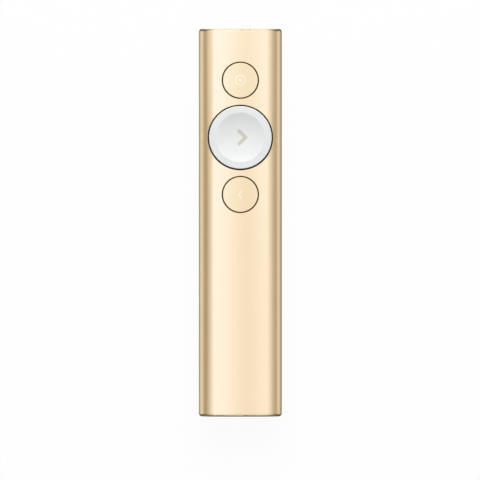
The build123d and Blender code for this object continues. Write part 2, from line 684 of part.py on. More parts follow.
with BuildPart() as ribbon_connectors:
    for y, z_low, z_high in ((2.1, BOARD_Z - 1.1, BOARD_Z), (-49.7, USB_BOARD_Z - 0.9, USB_BOARD_Z)):
        block((-2.9, 2.9), (y - 1.2, y + 1.2), (z_low, z_high))
    # A slot in each for the ribbon's bared end.
    slot_x = (-RIBBON_HALF - 0.05, RIBBON_HALF + 0.05)
    block(slot_x, (RIBBON_ROUTE[0][0] + 0.05, 0), (4.3 - 0.1, 4.3 + 0.1), mode=Mode.SUBTRACT)
    block(slot_x, (RIBBON_ROUTE[-1][0] - 0.05, -47), (2.4 - 0.1, 2.4 + 0.1), mode=Mode.SUBTRACT)
save(ribbon_connectors, "ribbon_connectors")

with BuildPart() as ribbon_cable:
    with BuildSketch(Plane.YZ.offset(-RIBBON_HALF)):
        with BuildLine():
            FilletPolyline(*RIBBON_ROUTE, radius=(0.8, 0.8, 1.6, 1.6))
        trace(line_width=RIBBON_THICK)
    extrude(amount=2 * RIBBON_HALF)
save(ribbon_cable, "ribbon_cable")

with BuildPart() as usb_board:
    board_y = (USB_BOARD_TAIL_Y, USB_BOARD_NOSE_Y)
    block((-USB_BOARD_HALF, USB_BOARD_HALF), board_y, (USB_BOARD_Z, USB_BOARD_Z + BOARD_THICK))
    fillet(edges().filter_by(Axis.Z), 0.5)
    block((-4.55, 4.55), (USB_BOARD_TAIL_Y - 1, PORT_BACK_Y + 0.05), (0, 6), mode=Mode.SUBTRACT)
    for x, y in USB_POSTS:
        disc(x, y, 0.6, 0, 6, mode=Mode.SUBTRACT)
save(usb_board, "usb_board")

with BuildPart() as usb_board_screws:
    for x, y in USB_POSTS:
        add(screw(1.1, 0.8, 0.45, 1.9).moved(Location((x, y, USB_BOARD_Z + BOARD_THICK))))
save(usb_board_screws, "usb_board_screws")

with BuildPart() as usb_socket_shell:
    end_slot(PORT_Z, PORT_WIDTH, PORT_HEIGHT, PORT_BACK_Y, PORT_MOUTH_Y)
    inner = (PORT_WIDTH - 2 * PORT_WALL, PORT_HEIGHT - 2 * PORT_WALL)
    end_slot(PORT_Z, *inner, PORT_BACK_Y + 1, PORT_MOUTH_Y - 1, mode=Mode.SUBTRACT)
save(usb_socket_shell, "usb_socket_shell")

with BuildPart() as usb_socket_tongue:
    end_slot(PORT_Z, inner[0] - 0.04, inner[1] - 0.04, PORT_BACK_Y, PORT_BACK_Y - 1.4)
    block((-3.3, 3.3), (PORT_MOUTH_Y + 0.7, PORT_BACK_Y - 1), (PORT_Z - 0.35, PORT_Z + 0.35))
save(usb_socket_tongue, "usb_socket_tongue")

with BuildPart() as charger_chip:
    block((-1.5, 1.5), (-54.0, -51.0), (USB_BOARD_Z + BOARD_THICK, USB_BOARD_Z + BOARD_THICK + 0.8))
save(charger_chip, "charger_chip")


# ================================================================================================ tail bezel
BEZEL_FACE_Y = TAIL_Y + END_RECESS

with BuildPart() as tail_bezel:
    add(slug(CAP_OUT, CHASSIS_TAIL_Y, BEZEL_FACE_Y))
    fillet(faces().sort_by(Axis.Y)[0].edges(), 0.2)
    end_slot(RECEIVER_Z, HEAD_WIDTH + 0.3, BAY_HEIGHT, BEZEL_FLOOR_Y, TAIL_Y - 1, mode=Mode.SUBTRACT)
    block((-BAY_HALF, BAY_HALF), (TAIL_Y, CHASSIS_TAIL_Y + 1), (BAY_FLOOR_Z, BAY_ROOF_Z), mode=Mode.SUBTRACT)
    end_slot(PORT_Z, PORT_WIDTH + 0.1, PORT_HEIGHT + 0.1, CHASSIS_TAIL_Y + 1, TAIL_Y - 1, mode=Mode.SUBTRACT)
    for side in (-1, 1):
        rod(side * TAIL_SCREW_X, TAIL_SCREW_Z, 0.7, CHASSIS_TAIL_Y + 1, TAIL_Y, mode=Mode.SUBTRACT)
        rod(side * TAIL_SCREW_X, TAIL_SCREW_Z, 1.05, BEZEL_FLOOR_Y + 0.85, TAIL_Y, mode=Mode.SUBTRACT)
save(tail_bezel, "tail_bezel")

with BuildPart() as tail_screws:
    for side in (-1, 1):
        seat = (side * TAIL_SCREW_X, BEZEL_FLOOR_Y + 0.85, TAIL_SCREW_Z)
        add(screw(1.0, 0.8, 0.55, 5.6).moved(Location(Plane(seat, x_dir=(1, 0, 0), z_dir=(0, -1, 0)))))
save(tail_screws, "tail_screws")


# ================================================================================================ receiver's dock
WINDOW_HALF_HEIGHT = 1.25
PEG_RADIUS = 0.4

with BuildPart() as receiver_dock:
    add(slug(CHASSIS_OUT, DOCK_END_Y, CHASSIS_TAIL_Y))
    block((-DOCK_HALF, DOCK_HALF), (-LENGTH, 0), (DOCK_Z, THICKNESS), mode=Mode.INTERSECT)
    block((-BAY_HALF, BAY_HALF), (TAIL_Y, BAY_STEP_Y), (BAY_FLOOR_Z, BAY_ROOF_Z), mode=Mode.SUBTRACT)
    plug_half = PLUG_HALF + BAY_GAP
    block((-plug_half, plug_half), (TAIL_Y, BAY_END_Y), (BAY_FLOOR_Z, BAY_ROOF_Z), mode=Mode.SUBTRACT)
    for side in (-1, 1):
        window_z = (RECEIVER_Z - WINDOW_HALF_HEIGHT, RECEIVER_Z + WINDOW_HALF_HEIGHT)
        window_y = (SPRING_Y - 3.0, SPRING_Y + 3.0)
        block((side * 7.0, side * (DOCK_HALF + 1)), window_y, window_z, mode=Mode.SUBTRACT)
        for peg_y in (SPRING_Y - 3.8, SPRING_Y + 3.8):
            with Locations(Location((side * (DOCK_HALF + 0.15), peg_y, RECEIVER_Z), (0, 90, 0))):
                Cylinder(PEG_RADIUS, 0.7)
save(receiver_dock, "receiver_dock")

with BuildPart() as dock_springs:
    for side in (-1, 1):
        # A flat strip against the dock's side wall, bowed in through the window to bear on the receiver.
        flat = DOCK_HALF + SPRING_THICK / 2
        crest = RECEIVER_HALF + 0.02 + SPRING_THICK / 2
        with BuildSketch(Plane.XY.offset(RECEIVER_Z - 1.0)):
            with BuildLine():
                Polyline((side * flat, SPRING_Y - SPRING_HALF), (side * flat, SPRING_Y - 2.4))
                Spline(
                    (side * flat, SPRING_Y - 2.4),
                    (side * crest, SPRING_Y),
                    (side * flat, SPRING_Y + 2.4),
                    tangents=((0, 1), (0, 1)),
                )
                Polyline((side * flat, SPRING_Y + 2.4), (side * flat, SPRING_Y + SPRING_HALF))
            trace(line_width=SPRING_THICK)
        extrude(amount=2.0)
        for peg_y in (SPRING_Y - 3.8, SPRING_Y + 3.8):
            with Locations(Location((side * DOCK_HALF, peg_y, RECEIVER_Z), (0, 90, 0))):
                Cylinder(PEG_RADIUS + 0.03, 2, mode=Mode.SUBTRACT)
save(dock_springs, "dock_springs")


# ================================================================================================ receiver
RECEIVER_LOW = RECEIVER_Z - RECEIVER_HEIGHT / 2
RECEIVER_HIGH = RECEIVER_Z + RECEIVER_HEIGHT / 2
CASE_WALL = 0.8
LID_THICK = 0.6
CAVITY_HALF = RECEIVER_HALF - CASE_WALL
CAVITY_Y = (HEAD_BACK_Y + CASE_WALL, CASE_NOSE_Y - CASE_WALL)
TONGUE_TOP = 7.6
NAIL_GROOVE_Z = 7.65

with BuildPart() as receiver_case:
    block((-RECEIVER_HALF, RECEIVER_HALF), (HEAD_BACK_Y, CASE_NOSE_Y), (RECEIVER_LOW, RECEIVER_HIGH))
    chamfer(edges().filter_by(Axis.Y), 0.3)
    end_slot(RECEIVER_Z, HEAD_WIDTH, RECEIVER_HEIGHT, HEAD_BACK_Y, HEAD_TAIL_Y)
    fillet(faces().sort_by(Axis.Y)[0].edges(), 0.3)
    end_slot(NAIL_GROOVE_Z, 11.0, 1.6, HEAD_TAIL_Y + 1.1, HEAD_TAIL_Y - 1, mode=Mode.SUBTRACT)
    cavity_z = (RECEIVER_LOW - 1, RECEIVER_HIGH - CASE_WALL)
    block((-CAVITY_HALF, CAVITY_HALF), CAVITY_Y, cavity_z, mode=Mode.SUBTRACT)
    # The way through the nose wall for the plug's tongue and the board's tab.
    block((-5.65, 5.65), (CASE_NOSE_Y - 1, CASE_NOSE_Y + 1), (6.05, TONGUE_TOP + 0.85), mode=Mode.SUBTRACT)
save(receiver_case, "receiver_case")

with BuildPart() as receiver_lid:
    lid_half = CAVITY_HALF - 0.04
    lid_y = (CAVITY_Y[0] + 0.04, CAVITY_Y[1] - 0.04)
    block((-lid_half, lid_half), lid_y, (RECEIVER_LOW, RECEIVER_LOW + LID_THICK))
save(receiver_lid, "receiver_lid")

with BuildPart() as receiver_board:
    block((-5.9, 5.9), (CAVITY_Y[0] + 0.6, CAVITY_Y[1] - 1.5), (6.8, TONGUE_TOP))
save(receiver_board, "receiver_board")

with BuildPart() as receiver_plug_shell:
    plug_z = (RECEIVER_LOW, RECEIVER_HIGH)
    block((-PLUG_HALF, PLUG_HALF), (CASE_NOSE_Y, PLUG_NOSE_Y), plug_z)
    fillet(edges().filter_by(Axis.Y), 0.35)
    block(
        (PLUG_WALL - PLUG_HALF, PLUG_HALF - PLUG_WALL),
        (CASE_NOSE_Y - 1, PLUG_NOSE_Y + 1),
        (RECEIVER_LOW + PLUG_WALL, RECEIVER_HIGH - PLUG_WALL),
        mode=Mode.SUBTRACT,
    )
    for x in (-2.8, 2.8):
        block((x - 1.1, x + 1.1), (PLUG_NOSE_Y - 7.2, PLUG_NOSE_Y - 5.2), (0, THICKNESS), mode=Mode.SUBTRACT)
save(receiver_plug_shell, "receiver_plug_shell")

with BuildPart() as receiver_plug_tongue:
    block((-5.6, 5.6), (CASE_NOSE_Y - 2.2, PLUG_NOSE_Y - 1.2), (6.1, TONGUE_TOP))
    block((-5.65, 5.65), (CASE_NOSE_Y + 0.02, PLUG_NOSE_Y - 1.2), (RECEIVER_LOW + PLUG_WALL + 0.02, TONGUE_TOP))
    block((-5.6, 5.6), (CASE_NOSE_Y - 0.8, CASE_NOSE_Y + 1.2), (TONGUE_TOP, TONGUE_TOP + 0.8))
    block((-4.2, 4.2), (CASE_NOSE_Y - 1, CASE_NOSE_Y + 2), (TONGUE_TOP, TONGUE_TOP + 0.12), mode=Mode.SUBTRACT)
save(receiver_plug_tongue, "receiver_plug_tongue")

with BuildPart() as receiver_contacts:
    for x in (-3.5, -1.0, 1.0, 3.5):
        block((x - 0.5, x + 0.5), (CASE_NOSE_Y - 3.2, PLUG_NOSE_Y - 1.8), (TONGUE_TOP, TONGUE_TOP + 0.1))
save(receiver_contacts, "receiver_contacts")
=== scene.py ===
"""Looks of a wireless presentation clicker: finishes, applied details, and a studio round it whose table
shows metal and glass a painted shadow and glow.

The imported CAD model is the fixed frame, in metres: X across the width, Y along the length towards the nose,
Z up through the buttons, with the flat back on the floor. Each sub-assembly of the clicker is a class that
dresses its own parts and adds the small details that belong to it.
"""

import json
import logging
import math
from dataclasses import dataclass
from enum import Enum

import bmesh
import bpy
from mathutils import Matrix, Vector

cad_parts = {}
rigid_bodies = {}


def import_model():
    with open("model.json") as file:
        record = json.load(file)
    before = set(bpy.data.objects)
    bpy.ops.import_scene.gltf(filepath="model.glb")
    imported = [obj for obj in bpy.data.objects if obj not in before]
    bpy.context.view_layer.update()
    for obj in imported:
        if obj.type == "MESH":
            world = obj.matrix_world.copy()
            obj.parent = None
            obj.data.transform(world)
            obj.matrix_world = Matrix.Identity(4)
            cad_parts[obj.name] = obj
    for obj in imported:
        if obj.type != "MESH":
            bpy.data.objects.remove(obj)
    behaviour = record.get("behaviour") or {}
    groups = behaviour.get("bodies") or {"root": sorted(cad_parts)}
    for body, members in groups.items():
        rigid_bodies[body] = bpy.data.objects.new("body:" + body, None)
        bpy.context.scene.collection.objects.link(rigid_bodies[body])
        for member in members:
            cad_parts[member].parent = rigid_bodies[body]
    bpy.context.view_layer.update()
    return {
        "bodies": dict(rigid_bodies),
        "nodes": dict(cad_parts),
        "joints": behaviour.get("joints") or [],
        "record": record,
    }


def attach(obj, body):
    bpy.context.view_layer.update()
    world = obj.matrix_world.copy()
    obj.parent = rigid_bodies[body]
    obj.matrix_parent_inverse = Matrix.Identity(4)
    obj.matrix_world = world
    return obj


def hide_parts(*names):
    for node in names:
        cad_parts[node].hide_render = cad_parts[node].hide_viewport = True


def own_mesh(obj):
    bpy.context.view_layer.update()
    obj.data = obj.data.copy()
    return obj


LOG = logging.getLogger("clicker")
MM = 0.001
TINY = 1e-9
Colour = tuple[float, float, float]
Point = tuple[float, float, float]
Pairs = list[tuple[float, float]]


# --------------------------------------------------------------------------------- node trees
class Graph:
    """Places and joins the nodes of one tree, so that a finish reads as a short list of steps."""

    def __init__(self, tree: bpy.types.NodeTree) -> None:
        """Keeps the node tree to fill, and clears what it holds."""
        self.tree = tree
        tree.nodes.clear()

    def feed(self, socket: bpy.types.NodeSocket, value: object) -> None:
        """Joins an output socket to an input, or sets the input to a plain value.

        Args:
            socket: The input socket.
            value: What it gets.
        """
        if isinstance(value, bpy.types.NodeSocket):
            self.tree.links.new(value, socket)
        else:
            socket.default_value = value

    def add(self, kind: str, feeds: dict | None = None, **settings: object) -> bpy.types.Node:
        """Places one node.

        Args:
            kind: The node's type name, without its ShaderNode prefix.
            feeds: For each input, by name or number, a plain value or the output socket that feeds it.
            settings: Properties of the node itself.

        Returns:
            The new node.
        """
        node = self.tree.nodes.new(kind if kind.startswith("Node") else f"ShaderNode{kind}")
        for name, value in settings.items():
            setattr(node, name, value)
        for name, value in (feeds or {}).items():
            self.feed(node.inputs[name], value)
        return node

    def math(self, operation: str, *values: object, clamp: bool = False) -> bpy.types.NodeSocket:
        """Gives a Math node's output, from its operation and up to three numbers or sockets."""
        return self.add("Math", dict(enumerate(values)), operation=operation, use_clamp=clamp).outputs[0]

    def vector(self, operation: str, *values: object) -> bpy.types.NodeSocket:
        """Gives a Vector Math node's output, which is a number for a length or a dot product."""
        node = self.add("VectorMath", dict(enumerate(values)), operation=operation)
        return node.outputs["Value" if operation in ("LENGTH", "DOT_PRODUCT") else "Vector"]

    def parts(self, vector: bpy.types.NodeSocket) -> bpy.types.NodeOutputs:
        """Gives a vector's X, Y and Z, as output sockets by name."""
        return self.add("SeparateXYZ", {0: vector}).outputs

    def rays(self) -> bpy.types.NodeOutputs:
        """Gives which kind of ray looks, as output sockets by Light Path's names."""
        return self.add("LightPath").outputs

    def span(
        self, value: object, low: float, high: float, to_low: float = 0.0, to_high: float = 1.0
    ) -> bpy.types.NodeSocket:
        """Maps a value smoothly, from to_low at or below low, to to_high at or above high."""
        feeds = {"Value": value, "From Min": low, "From Max": high, "To Min": to_low, "To Max": to_high}
        return self.add("MapRange", feeds, interpolation_type="SMOOTHSTEP").outputs["Result"]

    def mix(self, share: object, first: object, second: object) -> bpy.types.NodeSocket:
        """Mixes two colours.

        Args:
            share: How much of the second colour is mixed in.
            first: The first colour or its socket.
            second: The second colour or its socket.

        Returns:
            The mixed colour's output socket.
        """
        node = self.add("Mix", {"Factor": share}, data_type="RGBA", blend_type="MIX", clamp_factor=True)
        for socket, value in zip((s for s in node.inputs if s.type == "RGBA"), (first, second)):
            self.feed(socket, (*value, 1.0) if isinstance(value, tuple) else value)
        return next(s for s in node.outputs if s.type == "RGBA")

    def ramp(self, share: object, stops: list[tuple[float, Colour]]) -> bpy.types.NodeSocket:
        """Places a colour ramp.

        Args:
            share: The socket that drives it.
            stops: Each stop's place and colour.

        Returns:
            The colour's output socket.
        """
        ramp = self.add("ValToRGB", {0: share})
        elements = ramp.color_ramp.elements
        while len(elements) < len(stops):
            elements.new(1.0)
        for element, (place, colour) in zip(elements, stops):
            element.position = place
            element.color = (*colour, 1.0)
        return ramp.outputs[0]

    def light(self, kind: str, colour: object, strength: object = 1.0) -> bpy.types.NodeSocket:
        """Gives a shader that glows, whose kind is Background in a world and Emission on a surface."""
        colour = (*colour, 1.0) if isinstance(colour, tuple) else colour
        return self.add(kind, {"Color": colour, "Strength": strength}).outputs[0]

    def fade(
        self, share: object, first: bpy.types.NodeSocket, second: bpy.types.NodeSocket
    ) -> bpy.types.NodeSocket:
        """Mixes two shaders, by the share of the second one."""
        return self.add("MixShader", {0: share, 1: first, 2: second}).outputs[0]

    def place(self, effect: "Effect", **feeds: object) -> bpy.types.NodeOutputs:
        """Places a shared effect with its own values.

        Args:
            effect: Which effect.
            feeds: Its inputs by name.

        Returns:
            Its output sockets by name.
        """
        node = self.tree.nodes.new("ShaderNodeGroup")
        node.node_tree = EffectShelf.tree(effect)
        for name, value in feeds.items():
            self.feed(node.inputs[name], value)
        return node.outputs


class Effect(Enum):
    """Effects that more than one finish uses."""

    GRAIN = "fine_grain"
    PEBBLE = "moulded_pebble"
    MOTTLE = "slow_mottle"
    STREAKS = "drawn_streaks"
    EDGE = "rubbed_and_highlit_edge"
    DUST = "settled_dust"


class EffectShelf:
    """Builds each shared effect once, as a shader node group with named inputs and outputs."""

    LENGTHWISE = (1.0, 0.03, 1.0)  # multiplies coordinates, to draw noise out into lines along Y
    EDGE_TURN = (0.80, 0.99)  # how alike the softened and true normals are, from an edge to a flat face
    # These patches vary the edge wear and the painted edge highlights alike.
    PATCH_SCALE = 900.0  # rubbed patches to the metre
    PATCH_NOISE = (0.35, 0.6)  # from the least rubbed patches to the most
    PATCH_LEAST = 0.55
    SPECK = (0.05, 0.16)  # from inside a speck to the bare surface, in the texture's own distance
    FACING_UP = (0.3, 0.9)  # the normal's Z, from too steep for dust to level enough

    @classmethod
    def tree(cls, effect: Effect) -> bpy.types.NodeTree:
        """Gives an effect's node group, and builds it when it is first asked for.

        Args:
            effect: Which effect.

        Returns:
            Its node tree.
        """
        ready = bpy.data.node_groups.get(effect.value)
        if ready is not None:
            return ready
        builders = {
            Effect.GRAIN: cls._grain,
            Effect.PEBBLE: cls._pebble,
            Effect.MOTTLE: cls._mottle,
            Effect.STREAKS: cls._streaks,
            Effect.EDGE: cls._edge,
            Effect.DUST: cls._dust,
        }
        made = bpy.data.node_groups.new(effect.value, "ShaderNodeTree")
        builders[effect](made)
        return made

    @staticmethod
    def _sockets(tree: bpy.types.NodeTree, inputs: dict[str, float], outputs: list[str]) -> tuple:
        """Gives a group its named number sockets.

        Args:
            tree: The group.
            inputs: Each input's name and first value.
            outputs: The outputs' names.

        Returns:
            The graph, what comes into the group, and the inputs of its output node.
        """
        for name, value in inputs.items():
            socket = tree.interface.new_socket(name=name, in_out="INPUT", socket_type="NodeSocketFloat")
            socket.default_value = value
        for name in outputs:
            tree.interface.new_socket(name=name, in_out="OUTPUT", socket_type="NodeSocketFloat")
        graph = Graph(tree)
        entry = graph.add("NodeGroupInput").outputs
        return graph, entry, graph.add("NodeGroupOutput").inputs

    @staticmethod
    def _sized(graph: Graph, size: bpy.types.NodeSocket, **feeds: float) -> dict:
        """Gives the inputs of a texture that follows the piece at a size in metres, with its other feeds."""
        where = graph.add("TexCoord").outputs["Object"]
        return {"Vector": where, "Scale": graph.math("DIVIDE", 1.0, size), **feeds}

    @staticmethod
    def _centred(graph: Graph, noise: bpy.types.NodeSocket, reach: object) -> bpy.types.NodeSocket:
        """Moves noise of 0 to 1 about nought, and multiplies it by its reach."""
        return graph.math("MULTIPLY", graph.math("SUBTRACT", noise, 0.5), reach)

    @classmethod
    def _grain(cls, tree: bpy.types.NodeTree) -> None:
        """Fine random grain of a blasted or dyed surface: Size and Depth give a Height, all in metres.

        Args:
            tree: The group to fill.
        """
        graph, entry, out = cls._sockets(tree, {"Size": 0.0002, "Depth": 2e-6}, ["Height"])
        noise = graph.add("TexNoise", cls._sized(graph, entry["Size"], Detail=3.0, Roughness=0.6)).outputs[0]
        graph.feed(out["Height"], cls._centred(graph, noise, entry["Depth"]))

    @classmethod
    def _pebble(cls, tree: bpy.types.NodeTree) -> None:
        """Low domes of a spark-eroded mould: Size and Depth give a Height, all in metres.

        Args:
            tree: The group to fill.
        """
        graph, entry, out = cls._sockets(tree, {"Size": 0.0004, "Depth": 6e-6}, ["Height"])
        feeds = cls._sized(graph, entry["Size"])
        cells = graph.add("TexVoronoi", feeds, feature="SMOOTH_F1").outputs["Distance"]
        noise = graph.add("TexNoise", {**feeds, "Detail": 2.0}).outputs[0]
        dome = graph.math("SUBTRACT", noise, cells)
        graph.feed(out["Height"], graph.math("MULTIPLY", dome, entry["Depth"]))

    @classmethod
    def _mottle(cls, tree: bpy.types.NodeTree) -> None:
        """Slow unevenness of a dye or a skin: Size in metres and Amount give a Shift about nought.

        Args:
            tree: The group to fill.
        """
        graph, entry, out = cls._sockets(tree, {"Size": 0.01, "Amount": 0.03}, ["Shift"])
        noise = graph.add("TexNoise", cls._sized(graph, entry["Size"], Detail=4.0)).outputs[0]
        wide = cls._centred(graph, noise, 2.0)
        graph.feed(out["Shift"], graph.math("MULTIPLY", wide, entry["Amount"]))

    @classmethod
    def _streaks(cls, tree: bpy.types.NodeTree) -> None:
        """Fine lines along Y, as rolling leaves them: Size and Depth in metres give a Height, and a Value.

        Args:
            tree: The group to fill.
        """
        graph, entry, out = cls._sockets(tree, {"Size": 0.00015, "Depth": 2e-6}, ["Height", "Value"])
        feeds = cls._sized(graph, entry["Size"], Detail=2.0)
        feeds["Vector"] = graph.vector("MULTIPLY", feeds["Vector"], cls.LENGTHWISE)
        noise = graph.add("TexNoise", feeds).outputs[0]
        graph.feed(out["Height"], cls._centred(graph, noise, entry["Depth"]))
        graph.feed(out["Value"], noise)

    @classmethod
    def _edge(cls, tree: bpy.types.NodeTree) -> None:
        """Where an edge is worn, and where a finish paints a highlight along it: Width in metres and the wear
        amount give a Mask that is 1 on the sharpest edges.

        Args:
            tree: The group to fill.
        """
        graph, entry, out = cls._sockets(tree, {"Width": 0.0002, "Wear": 1.0}, ["Mask"])
        soft = graph.add("Bevel", {"Radius": entry["Width"]}, samples=4).outputs["Normal"]
        true = graph.add("NewGeometry").outputs["Normal"]
        turned = graph.span(graph.vector("DOT_PRODUCT", soft, true), *cls.EDGE_TURN, 1.0, 0.0)
        where = graph.add("TexCoord").outputs["Object"]
        noise = graph.add("TexNoise", {"Vector": where, "Scale": cls.PATCH_SCALE, "Detail": 3.0}).outputs[0]
        patches = graph.span(noise, *cls.PATCH_NOISE, cls.PATCH_LEAST, 1.0)
        mask = graph.math("MULTIPLY", turned, patches)
        graph.feed(out["Mask"], graph.math("MULTIPLY", mask, entry["Wear"], clamp=True))

    @classmethod
    def _dust(cls, tree: bpy.types.NodeTree) -> None:
        """A few settled specks on what faces up: Size in metres and Amount give a Mask.

        Args:
            tree: The group to fill.
        """
        graph, entry, out = cls._sockets(tree, {"Size": 0.0006, "Amount": 0.5}, ["Mask"])
        cells = graph.add("TexVoronoi", cls._sized(graph, entry["Size"]), feature="F1").outputs["Distance"]
        speck = graph.span(cells, *cls.SPECK, 1.0, 0.0)
        up = graph.span(graph.parts(graph.add("NewGeometry").outputs["Normal"])["Z"], *cls.FACING_UP)
        mask = graph.math("MULTIPLY", graph.math("MULTIPLY", speck, up), entry["Amount"], clamp=True)
        graph.feed(out["Mask"], mask)


# --------------------------------------------------------------------------------- finishes
class SurfaceGraph(Graph):
    """The graph of one finish's material, round its Principled shader."""

    def __init__(self, name: str, colour: Colour, roughness: float) -> None:
        """Starts a material that is plain as yet.

        Args:
            name: The material's name.
            colour: Its plain colour.
            roughness: Its plain roughness.
        """
        self.material = bpy.data.materials.new(name)
        self.material.use_nodes = True
        self.material.diffuse_color = (*colour, 1.0)
        super().__init__(self.material.node_tree)
        self.shader = self.add("BsdfPrincipled", {"Base Color": (*colour, 1.0), "Roughness": roughness})
        self.add("OutputMaterial", {"Surface": self.shader.outputs[0]})

    def put(self, name: str, value: object) -> None:
        """Feeds one of the shader's inputs, by its name."""
        self.feed(self.shader.inputs[name], value)

    def relief(self, height: bpy.types.NodeSocket) -> None:
        """Raises the surface by a height in metres."""
        bump = self.add("Bump", {"Height": height, "Distance": 1.0, "Strength": 1.0})
        self.put("Normal", bump.outputs[0])

    def polish(self, rough: bpy.types.NodeSocket, mask: bpy.types.NodeSocket, gloss: float) -> None:
        """Takes a gloss off the roughness, where a mask shows that something has rubbed the surface."""
        self.put("Roughness", self.math("SUBTRACT", rough, self.math("MULTIPLY", mask, gloss), clamp=True))


@dataclass(frozen=True)
class Finish:
    """What every finish has; each kind of finish adds its own surface. Sizes and depths are in metres."""

    name: str
    colour: Colour
    roughness: float = 0.5

    def material(self) -> bpy.types.Material:
        """Gives this finish's material, and builds it when it is first asked for.

        Returns:
            The material.
        """
        ready = bpy.data.materials.get(self.name)
        if ready is not None:
            return ready
        graph = SurfaceGraph(self.name, self.colour, self.roughness)
        self.surface(graph)
        return graph.material

    def surface(self, graph: SurfaceGraph) -> None:
        """Adds the surface's own detail to the material's graph."""
        raise NotImplementedError

    def uneven(self, graph: SurfaceGraph, size: float, amount: float) -> bpy.types.NodeSocket:
        """Lets the roughness drift over the surface.

        Args:
            graph: The material's graph.
            size: How far apart the drifts are.
            amount: How far the roughness drifts.

        Returns:
            The roughness's socket, so that wear can change it further.
        """
        shift = graph.place(Effect.MOTTLE, Size=size, Amount=amount)["Shift"]
        rough = graph.math("ADD", shift, self.roughness, clamp=True)
        graph.put("Roughness", rough)
        return rough

    def tinted(self, graph: SurfaceGraph, size: float, deeper: float, paler: float) -> bpy.types.NodeSocket:
        """Lets the colour drift between a deeper and a paler tone.

        Args:
            graph: The material's graph.
            size: How far apart the drifts are.
            deeper: What the colour is multiplied by in its deepest tone.
            paler: What it is multiplied by in its palest.

        Returns:
            The colour's socket.
        """
        tone = graph.place(Effect.MOTTLE, Size=size, Amount=0.5)["Shift"]
        tones = [tuple(min(1.0, part * level) for part in self.colour) for level in (deeper, paler)]
        return graph.mix(graph.math("ADD", tone, 0.5, clamp=True), *tones)

    def stained(self, graph: SurfaceGraph, size: float, amount: float, stain: Colour) -> bpy.types.NodeSocket:
        """Gives the colour with patches of a stain, so far apart and as strong as the amount."""
        shift = graph.place(Effect.MOTTLE, Size=size, Amount=amount)["Shift"]
        return graph.mix(graph.math("MAXIMUM", shift, 0.0), self.colour, stain)


@dataclass(frozen=True)
class BlastedMetal(Finish):
    """Bead-blasted, dyed and sealed metal, paler on its edges: partly bare cut edges, partly a painted
    highlight.
    """

    bright: Colour = (0.95, 0.86, 0.68)
    grain_size: float = 0.00016
    grain_depth: float = 1.6e-6
    drift: float = 0.02
    edge_width: float = 0.00012
    edge_wear_and_highlight: float = 0.5
    edge_gloss: float = 0.08

    def surface(self, graph: SurfaceGraph) -> None:
        """Adds the blast grain, a slow drift of the dye, and the paler edges that are partly a painted
        highlight.

        Args:
            graph: The material's graph.
        """
        graph.put("Metallic", 1.0)
        rough = self.uneven(graph, size=0.012, amount=self.drift)
        dye = self.tinted(graph, size=0.02, deeper=0.98, paler=1.02)
        mask = graph.place(Effect.EDGE, Width=self.edge_width, Wear=self.edge_wear_and_highlight)["Mask"]
        # Paler colour on the edges: partly bare cut metal, partly a painted highlight.
        graph.put("Base Color", graph.mix(mask, dye, self.bright))
        graph.polish(rough, mask, self.edge_gloss)
        graph.relief(graph.place(Effect.GRAIN, Size=self.grain_size, Depth=self.grain_depth)["Height"])


@dataclass(frozen=True)
class MouldedPlastic(Finish):
    """Moulded plastic with the mould's own texture, and an edge colour: wear on the dark ends, a painted
    highlight on the white key.
    """

    pebble_size: float = 0.0004
    pebble_depth: float = 5e-6
    drift: float = 0.04
    rub_and_highlight: Colour | None = None
    edge_width: float = 0.00015
    edge_wear_and_highlight: float = 0.6
    edge_gloss: float = 0.12
    specular: float = 0.5
    dust: float = 0.0
    dust_size: float = 0.0007
    dust_colour: Colour = (0.55, 0.53, 0.5)

    def surface(self, graph: SurfaceGraph) -> None:
        """Adds the mould texture, a slow drift of gloss, the edge colour (wear on the dark ends, a painted
        highlight on the white key) and a little dust.

        Args:
            graph: The material's graph.
        """
        graph.put("Specular IOR Level", self.specular)
        rough = self.uneven(graph, size=0.006, amount=self.drift)
        graph.relief(graph.place(Effect.PEBBLE, Size=self.pebble_size, Depth=self.pebble_depth)["Height"])
        skin = self.tinted(graph, size=0.009, deeper=0.95, paler=1.05)
        if self.rub_and_highlight is not None:
            mask = graph.place(Effect.EDGE, Width=self.edge_width, Wear=self.edge_wear_and_highlight)["Mask"]
            skin = graph.mix(mask, skin, self.rub_and_highlight)
            graph.polish(rough, mask, self.edge_gloss)
        if self.dust > 0:
            specks = graph.place(Effect.DUST, Size=self.dust_size, Amount=self.dust)["Mask"]
            skin = graph.mix(specks, skin, self.dust_colour)
        graph.put("Base Color", skin)


@dataclass(frozen=True)
class DrawnMetal(Finish):
    """Plated or bare sheet metal with the fine lines that rolling leaves, and a painted highlight on its
    edges.
    """

    streak_size: float = 0.0002
    streak_depth: float = 1.5e-6
    streak_gloss: float = 0.12
    tarnish: Colour = (0.4, 0.38, 0.34)
    tarnished: float = 0.15
    edge_width: float = 0.0001
    edge_wear_and_highlight: float = 0.5
    edge_shine: float = 1.25

    def surface(self, graph: SurfaceGraph) -> None:
        """Adds rolled lines, a faint tarnish and painted highlights on the edges.

        Args:
            graph: The material's graph.
        """
        graph.put("Metallic", 1.0)
        lines = graph.place(Effect.STREAKS, Size=self.streak_size, Depth=self.streak_depth)
        graph.relief(lines["Height"])
        rough = self.uneven(graph, size=0.003, amount=0.05)
        lined = graph.math("MULTIPLY", graph.math("SUBTRACT", lines["Value"], 0.5), self.streak_gloss)
        graph.put("Roughness", graph.math("ADD", rough, lined, clamp=True))
        plate = self.stained(graph, size=0.002, amount=self.tarnished, stain=self.tarnish)
        mask = graph.place(Effect.EDGE, Width=self.edge_width, Wear=self.edge_wear_and_highlight)["Mask"]
        # Brighter colour on the edges: a painted highlight.
        bright = tuple(min(1.0, part * self.edge_shine) for part in self.colour)
        graph.put("Base Color", graph.mix(mask, plate, bright))


